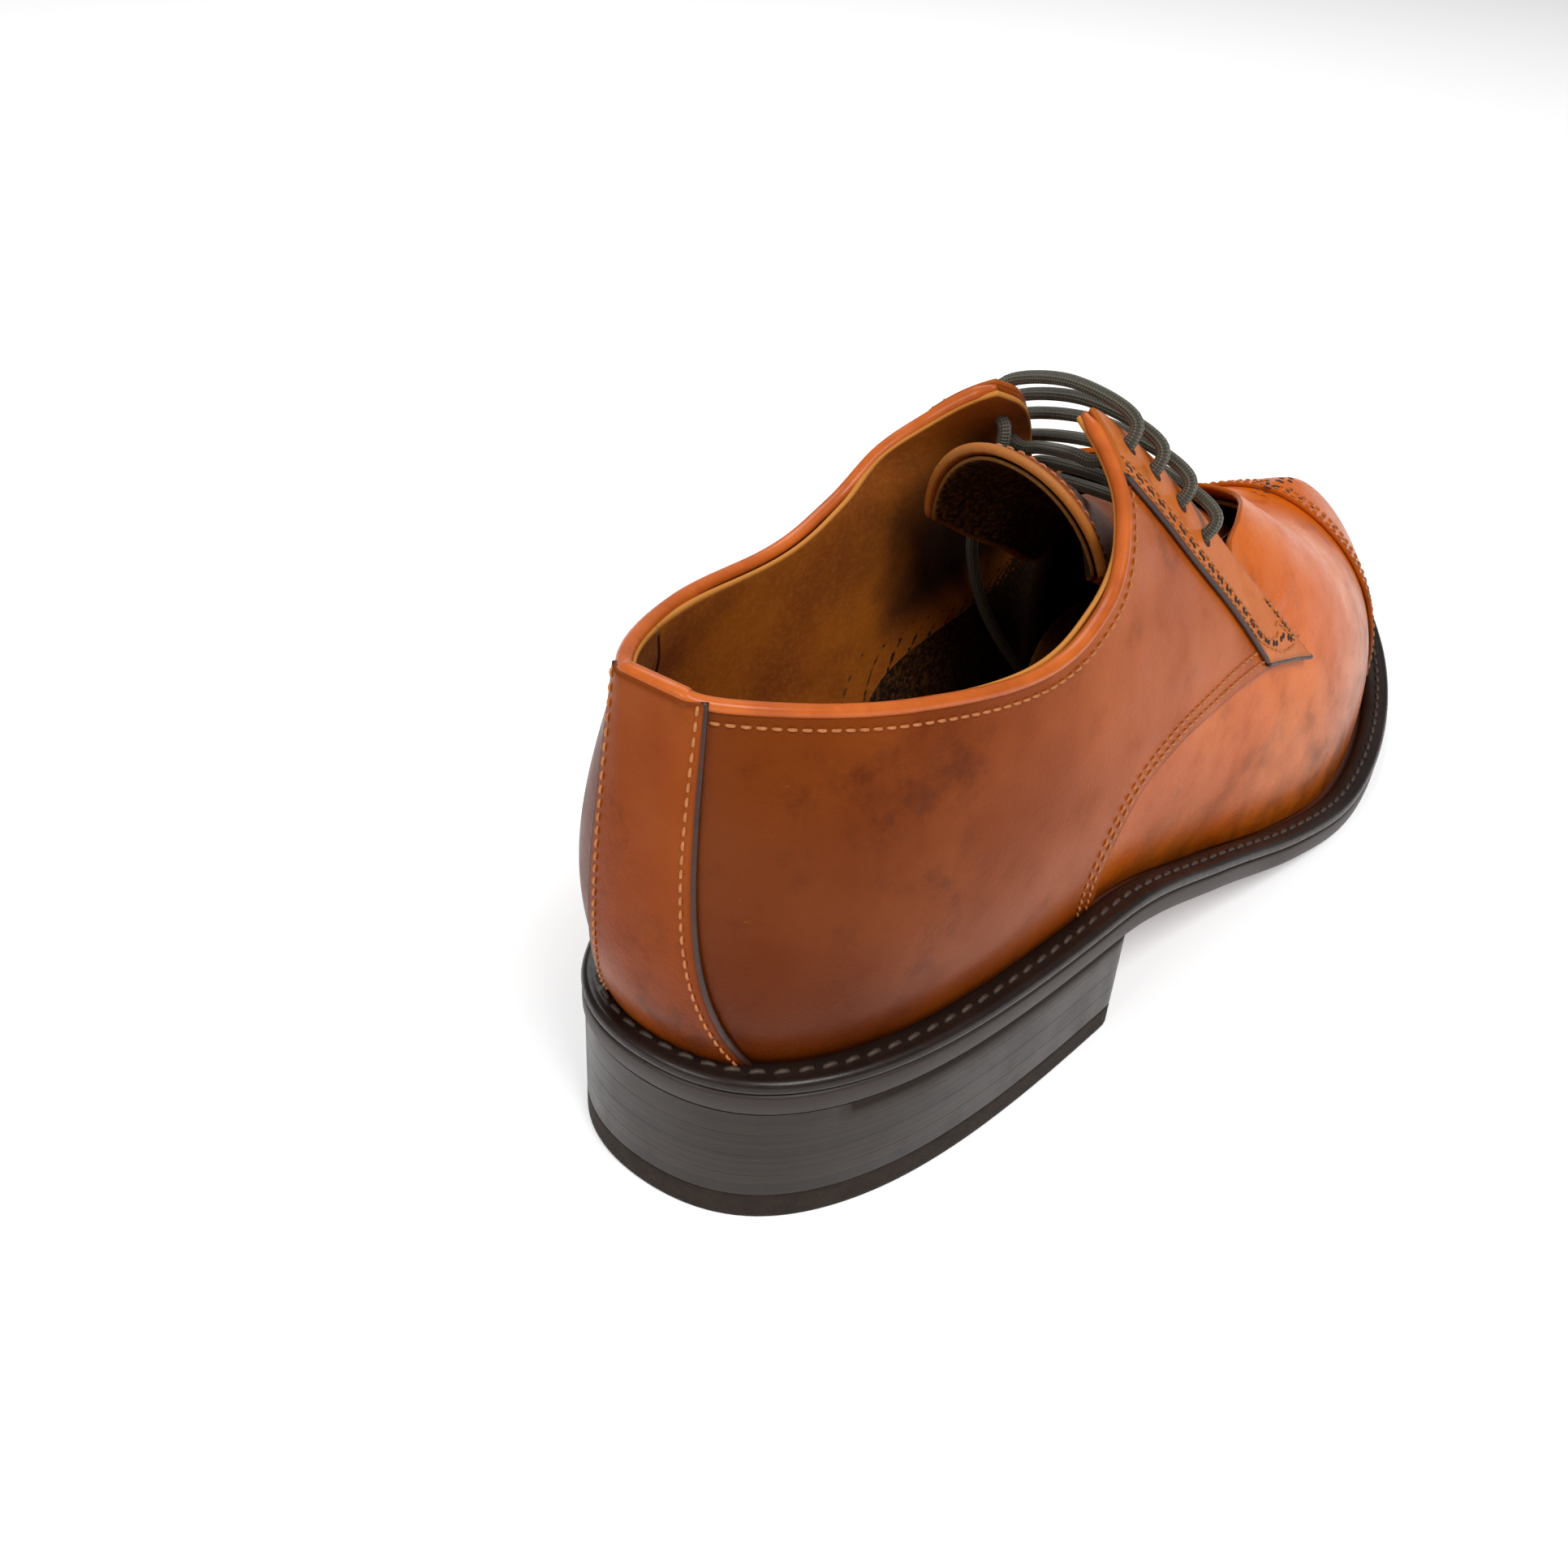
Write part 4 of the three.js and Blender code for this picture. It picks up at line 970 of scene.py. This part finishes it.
def makeFacing(side):
    wide, high = upperCut["facingSize"]
    a, b = edgeSteps(14, wide), edgeSteps(40, high)
    lines = [facingLine(k) for k in a]
    step = np.arange(len(lines[0]))
    grid = np.stack([picked(line, b * step[-1], step) for line in lines])
    name = sideName(side)
    panel(f"facing_{name}_leather", sideStation(side, grid[..., 0]), grid[..., 1], upperCut["trim"],
          (a * wide, b * high), facingLeather, replaces=(f"facing_{name}",), slot="upper", round=0.45)
    rear, normal = onLast(side, facingLine(0.012), 0.62)
    share = np.linspace(0, 1, len(rear))
    radius = 0.66 * np.clip(np.minimum(share, share[::-1]) * 30 + 0.4, 0.4, 1)
    tube(f"facing_fold_{name}", rear, radius, foldDark, normals=normal, slot="upper")
    end, normal = onLast(side, np.linspace(facingLine(0)[0], facingLine(1)[0], 40), upperCut["foldLift"])
    tube(f"facing_end_{name}", end, upperCut["foldRadius"], foldDark, normals=normal, slot="upper")


def beltLine(inset, count=220):
    # runs inside the facing's rear edge, then round its lower front corner
    down = facingLine(inset / upperCut["facingSize"][0])[8:][::-1]
    lowest = facingLine(0.5)[0] + np.array([0, inset / pattern["heightLength"]])
    bend = lowest + (down[-1] - lowest) * 0.45
    corner = facingLine(0.9)[14]
    rise = facingLine(0.93)[40]
    return smoothLine([*down[::20], bend, lowest, corner, rise], count)


def makeQuarterTrim(side):
    name = sideName(side)
    top = topline[topline[:, 0] > upperCut["stripTop"] + 0.02]
    seams = [moved(frontSeam, 2.0), moved(frontSeam, 4.0), moved(top, -3.0)]
    rows = [onLast(side, seam, upperCut["stitchLift"]) for seam in seams]
    rows += [onLast(side, beltLine(inset), 1.32) for inset in upperCut["beltStitches"]]
    stitches(f"quarter_stitches_{name}", rows, threadTan, slot="upper")
    belt, normal = onLast(side, beltLine(upperCut["beltInset"]), 1.22)
    run = runAlong(belt)
    pairs = np.arange(3.0, run[-1] - 1, 4.4)
    s = np.concatenate([pairs - 0.75, pairs + 0.75])
    eyes, eyeNormals = (np.array(k) for k in zip(*(eyelet(side, k) for k in range(len(pattern["eyelets"])))))
    sizes = np.concatenate([np.full(len(s), 0.62), np.full(len(eyes), 1.75)])
    punches(f"facing_holes_{name}", np.concatenate([picked(belt, s, run), eyes + eyeNormals * 1.24]),
            np.concatenate([picked(normal, s, run), eyeNormals]), hole, size=sizes, slot="upper")


for side in (-1, 1):
    makeQuarter(side)
    makeFacing(side)
    makeQuarterTrim(side)


def seamStation(v, side):
    # station where a rib crosses the cap's curved seam, by halving the range
    low, high = (np.full(v.shape, end) for end in pattern["capSeamRange"])
    for _ in range(30):
        middle = (low + high) / 2
        p = lastPoint(sideStation(side, middle), v)
        bow = pattern["capSeamBow"] * (p[..., 1] / pattern["capSeamHalf"]) ** 2
        short = p[..., 0] < pattern["capSeamX"] + bow
        low, high = np.where(short, middle, low), np.where(short, high, middle)
    return (low + high) / 2


def acrossToe():
    # places across the forepart from the outer foot over the ridge to the inner foot
    return edgeSteps(upperCut["toeColumns"], upperCut["toeWidth"]) * 2 - 1


def toeGrid(fromStation, toStation, rows, length):
    # grid whose rows run ahead and whose columns cross the ridge at their middle
    w = acrossToe()
    a = edgeSteps(rows, length)[:, None]
    t = fromStation * (1 - a) + toStation * a
    v = np.broadcast_to(1 - np.abs(w), t.shape)
    lengths = (a[:, 0] * length, (w + 1) * upperCut["toeWidth"] / 2)
    return np.where(w <= 0, t, wholeRound - t), v, lengths


def seamPair(w):
    v = 1 - np.abs(w)
    return np.where(w <= 0, seamStation(v, -1), seamStation(v, 1))


def makeForepart():
    w = acrossToe()
    seam = seamPair(w)
    order = np.argsort(vampRear[:, 1])
    rear = np.interp(1 - np.abs(w), vampRear[order, 1], vampRear[order, 0])
    tip = np.full(len(w), wholeRound / 2)
    for name, start, end, rows, length, layer, material, settle, node, slot in (
            ("vamp_leather", rear, seam + 0.05, 60, 110, "under", toeLeather, 6, "vamp", "toe"),
            ("toe_cap_leather", seam, tip, 44, 55, "skin", toeLeather, 6, "toe_cap", "toe"),
            # the vamp's inside is coloured near black as painted shade
            ("vamp_inside", rear + 0.2, tip, 50, 150, "inside", paintedShadeLining, 4, "vamp_lining", "lining")):
        t, v, lengths = toeGrid(start, end, rows, length)
        panel(name, t, v, upperCut[layer], lengths, material, settle=settle, folded=end is tip,
              replaces=(node,), slot=slot)


def toeLine(ahead, lift=0.0, count=260):
    # line over the cap that stays a number of stations ahead of its seam
    w = np.linspace(-0.985, 0.985, count)
    t = seamPair(w) + ahead
    return laid(np.where(w <= 0, t, wholeRound - t), 1 - np.abs(w), lift)


capTrim = {
    "rows": (0.07, 0.26),
    "holeRow": 0.165,
    "holePitch": 3.9,
    "holeLift": 0.02,
    "medallion": [(9.15, .93), (9.5, .90), (9.85, .87), (10.15, .87), (10.5, .90), (10.85, .93),
                  (9.3, .80), (10, .76), (10.7, .80), (9.6, .97), (10.4, .97), (9.75, .80), (10.25, .80)],
}


def makeCapTrim():
    stitches("cap_stitches", [toeLine(ahead, upperCut["stitchLift"]) for ahead in capTrim["rows"]], threadTan,
             slot="toe")
    line, normal = toeLine(capTrim["holeRow"])
    run = runAlong(line)
    s = np.arange(2.5, run[-1] - 2, capTrim["holePitch"])
    at, up = picked(line, s, run), picked(normal, s, run)
    station, height = np.array(capTrim["medallion"]).T
    dots, dotsUp = laid(station, height, capTrim["holeLift"])
    sizes = np.concatenate([np.full(len(s), 0.62), np.full(len(dots), 0.75)])
    punches("cap_holes", np.concatenate([at + up * capTrim["holeLift"], dots]), np.concatenate([up, dotsUp]),
            hole, size=sizes, slot="toe")


makeForepart()
makeCapTrim()

print("heel strip, topline and linings")


def stripHalf(h):
    return upperCut["stripTop"] + upperCut["stripFlare"] * (1 - h) ** 4


def makeHeelStrip():
    wide, high = upperCut["stripSize"]
    b = edgeSteps(40, high)[None]
    a = edgeSteps(20, wide)[:, None] * 2 - 1
    t = a * stripHalf(b)
    v = np.broadcast_to(b * upperCut["stripHeight"], t.shape)
    panel("heel_strip_leather", t, v, upperCut["trim"], ((a[:, 0] + 1) * wide / 2, b[0] * high),
          stripLeather, replaces=("heel_strip",), slot="upper", round=0.45)
    rows = []
    h = np.linspace(0.015, 1, 120)
    for side in (-1, 1):
        t, v = -side * stripHalf(h), h * upperCut["stripHeight"]
        rows.append(laid(t + side * upperCut["stripStitch"], v, 1.3))
        fold, normal = laid(t, v, upperCut["foldLift"])
        tube(f"strip_fold_{sideName(side)}", fold, upperCut["foldRadius"], foldDark, normals=normal,
             slot="upper")
    stitches("strip_stitches", rows, threadTan, slot="upper")


makeHeelStrip()


def makeRoll():
    # bead folded over the topline from one facing round the heel to the other
    line = np.concatenate([topline[::-1], topline[1:] * (-1, 1)])
    bead, normal = laid(line[:, 0], line[:, 1], -upperCut["rollSink"])
    count = np.arange(len(bead))
    ends = np.clip(np.minimum(count, count[::-1]) / 8 + 0.4, 0, 1)
    tube("topline_roll", bead, upperCut["rollRadius"] * ends, rollLeather, sides=14, normals=normal,
         flatten=1.25, slot="upper")


makeRoll()


def liningDrop(v):
    # 0 at the topline, where the lining lies close to the quarter, and 1 where the stiffener fits behind it
    drop = np.clip((0.80 - v) / 0.10, 0, 1)
    return drop * drop * (3 - 2 * drop)


def makeLining(side):
    t, v, lengths = quarterGrid(upperCut["liningRise"], upperCut["liningStart"])
    drop = liningDrop(v)
    name = sideName(side)
    # the quarter's inside carries the lining's painted shade ahead of the ankle
    panel(f"quarter_inside_{name}", sideStation(side, t), v, (-2.5 - 1.5 * drop, -1.3 - 1.7 * drop), lengths,
          lining, replaces=(f"quarter_lining_{name}",), slot="lining")


def makeGrip():
    wide, high = upperCut["gripSize"]
    b = edgeSteps(30, high)[None]
    a = edgeSteps(50, wide)[:, None] * 2 - 1
    t = a * (upperCut["gripFoot"] - upperCut["gripTaper"] * b)
    v = b * (np.interp(np.abs(t), topline[:, 0], topline[:, 1]) + upperCut["liningRise"])
    drop = liningDrop(v)
    panel("heel_inside", t, v, (-2.6 - 1.5 * drop, -1.3 - 1.7 * drop),
          ((a[:, 0] + 1) * wide / 2, b[0] * high), gripLeather, replaces=("heel_grip",), slot="lining")
    for side in (-1, 1):
        h = np.linspace(0.02, 0.99, 80)
        t = -side * (upperCut["gripFoot"] - upperCut["gripTaper"] * h)
        v = h * np.interp(np.abs(t), topline[:, 0], topline[:, 1])
        seam, normal = laid(t, v, -(2.62 + 1.5 * liningDrop(v)))
        tube(f"grip_seam_{sideName(side)}", seam, 0.32, foldDark, sides=6, normals=normal, slot="lining")


for side in (-1, 1):
    makeLining(side)
makeGrip()

print("heel pad and tongue")
pad = {
    "inset": 12.4,
    "stations": (0.0, 3.6),
    "bow": 6.0,
    "low": 9.4,
    "high": 12.7,
    "edge": 2.2,
    "rim": 0.3,
    "size": (110, 50),
}


def acrossSole(t, b, inset):
    # plan ruled from the outer side of the sole to the inner side at stations t
    left, _ = outlineAt(t, inset)
    right, _ = outlineAt(wholeRound - t, inset)
    return left[:, None] * (1 - b[None, :, None]) + right[:, None] * b[None, :, None]


def makePad():
    # the seat's cushion, its front edge bowed ahead and its top swelling from a low rim
    long, wide = pad["size"]
    a, b = edgeSteps(46, long, 0.6), edgeSteps(26, wide, 0.6)
    start, end = pad["stations"]
    flat = acrossSole(start + a * (end - start) + 0.02, b, pad["inset"])
    flat[..., 0] += (pad["bow"] * a[:, None] ** 2) * np.sin(math.pi * b)[None]
    rim = np.minimum(np.minimum(a, 1 - a)[:, None] * long, np.minimum(b, 1 - b)[None] * wide)
    swell = np.clip(rim / pad["edge"], 0, 1)
    crown = (1 - (1 - swell) ** 2) ** 0.5 * (0.85 + 0.15 * np.clip(rim / 16, 0, 1))
    ground = underside(flat[..., 0])
    high = atHeight(flat, ground + pad["low"] + pad["rim"] + (pad["high"] - pad["low"] - pad["rim"]) * crown)
    low = atHeight(flat, ground + pad["low"])
    item = shell("heel_cushion", high, low, (a * long, b * wide), padLeather, replaces=("heel_pad",),
                 slot="pad")


def makeSock():
    long, wide = 200, 60
    a, b = edgeSteps(60, long), edgeSteps(22, wide)
    start, end = sole["sockStations"]
    flat = acrossSole(start + a * (end - start), b, sole["sockInset"])
    flat[..., 0] += (pad["bow"] * (1 - a[:, None]) ** 6) * np.sin(math.pi * b)[None]
    low = underside(flat[..., 0]) + sole["sockLow"]
    # the sock carries the lining's painted shade ahead of the ankle
    shell("sock", atHeight(flat, low + sole["sockThick"]), atHeight(flat, low), (a * long, b * wide), lining,
          replaces=("sock_lining",), slot="lining")


makePad()
makeSock()

tongue = {
    # x, height, half width outside, half width inside, drop of its edges, from sewn base to tip
    "sections": [(40, 70.5, 14, 12, 5), (26, 77, 17, 13, 9), (10, 82.5, 19, 14, 14),
                 (-4, 87, 19, 14, 18), (-20, 92.3, 16, 11, 22), (-36, 102.8, 15, 10.5, 24),
                 (-48, 110, 20, 15, 25), (-58, 115, 23, 18, 25)],
    "middle": 2,
    "lean": 8,
    "arch": 1.4,
    "leather": (-2.0, 0.0),
    "lining": (-3.2, -2.25),
    "steps": 8,
    "columns": 41,
    "size": (112, 60),
    "stitchInset": 3,  # in columns
    "rim": 0.2,
}


def tongueGrid(trim):
    # arcs across a line from the base to the tip, each with its own half widths and drop
    rows = np.array(tongue["sections"], float)
    line = centripetal(rows[:, :3], tongue["steps"])
    sizes = centripetal(rows[:, [3, 4, 4]], tongue["steps"])
    u = np.linspace(trim, 1 - trim, len(line))
    even = np.linspace(0, 1, len(line))
    x, z, outside, inside, drop, _ = picked(np.hstack([line, sizes]), u, even).T[..., None]
    angle = (np.linspace(-1, 1, tongue["columns"]) * (1 - trim) * tongue["arch"])[None]
    half = np.where(angle < 0, outside, inside)
    fall = 1 - np.cos(angle)
    grid = np.stack([x + tongue["lean"] * u[:, None] ** 4 * fall, tongue["middle"] + half * np.sin(angle),
                     z - drop * fall], -1)
    along, across = np.gradient(grid, axis=0), np.gradient(grid, axis=1)
    normal = unit(np.cross(across, along))
    return grid, normal * (1 if normal[:, tongue["columns"] // 2, 2].mean() > 0 else -1)


def tongueLayer(name, node, layer, trim, material, slot):
    grid, normal = tongueGrid(trim)
    rim = rimOf(grid.shape[:2]) * tongue["rim"]
    high = grid + normal * (layer[1] - rim)[..., None]
    low = grid + normal * (layer[0] + rim)[..., None]
    lengths = [np.linspace(0, size, count) for size, count in zip(tongue["size"], grid.shape)]
    shell(name, high, low, lengths, material, body="tongue", replaces=(node,), slot=slot)
    return grid, normal


def makeTongue():
    grid, normal = tongueLayer("tongue_leather", "tongue", tongue["leather"], 0.0, tongueLeather, "tongue")
    raised, k = grid + normal * 0.1, tongue["stitchInset"]
    rows = [(raised[:-k, k], normal[:-k, k]), (raised[:-k, -k - 1], normal[:-k, -k - 1]),
            (raised[-k - 1, k:-k], normal[-k - 1, k:-k])]
    stitches("tongue_stitches", rows, threadTan, body="tongue", slot="tongue")
    # the tongue's inside is coloured near black as painted shade
    tongueLayer("tongue_inside", "tongue_lining", tongue["lining"], 0.02, paintedShadeLining, "lining")


makeTongue()

print("floor and lights")
studio = {
    "floorSize": 6.0,
    "floorGlow": 0.32,
    "sky": 0.2,
    "aim": (0, 0, 0.05),
    # name: place, size, power
    "lights": {
        "key": ((-0.35, -0.8, 1.5), 0.7, 19),
        "back": ((0.7, 0.9, 1.5), 1.0, 12),
        "side": ((-1.3, 0.2, 1.0), 0.6, 7),
    },
}


def makeFloor():
    half = studio["floorSize"] / 2
    mesh = bpy.data.meshes.new("floor")
    corners = [(-half, -half, 0), (half, -half, 0), (half, half, 0), (-half, half, 0)]
    mesh.from_pydata(corners, [], [(0, 1, 2, 3)])
    paper = Sheet("whiteFloor", Base_Color=(0.9, 0.9, 0.9, 1), Roughness=0.9,
                  Emission_Color=(1, 1, 1, 1), Emission_Strength=studio["floorGlow"])
    mesh.materials.append(paper.material)
    floor = bpy.data.objects.new("floor", mesh)
    bpy.context.scene.collection.objects.link(floor)


def makeSky():
    # a dim white sky lights the shoe, and a full white one is seen
    world = bpy.data.worlds.new("studio")
    world.use_nodes = True
    nodes, links = world.node_tree.nodes, world.node_tree.links
    seen = nodes.new("ShaderNodeBackground")
    for background, strength in ((nodes["Background"], studio["sky"]), (seen, 1.0)):
        background.inputs["Color"].default_value = (1, 1, 1, 1)
        background.inputs["Strength"].default_value = strength
    mixed = nodes.new("ShaderNodeMixShader")
    path = nodes.new("ShaderNodeLightPath")
    links.new(path.outputs["Is Camera Ray"], mixed.inputs[0])
    links.new(nodes["Background"].outputs[0], mixed.inputs[1])
    links.new(seen.outputs[0], mixed.inputs[2])
    links.new(mixed.outputs[0], nodes["World Output"].inputs["Surface"])
    bpy.context.scene.world = world


def makeLights():
    for name, (place, size, power) in studio["lights"].items():
        data = bpy.data.lights.new(name, "AREA")
        data.size = size
        data.energy = power
        item = bpy.data.objects.new(name, data)
        bpy.context.scene.collection.objects.link(item)
        item.location = place
        aim = Vector(studio["aim"]) - Vector(place)
        item.rotation_euler = aim.to_track_quat("-Z", "Y").to_euler()


makeFloor()
makeSky()
makeLights()
bpy.context.scene.view_settings.view_transform = "Standard"
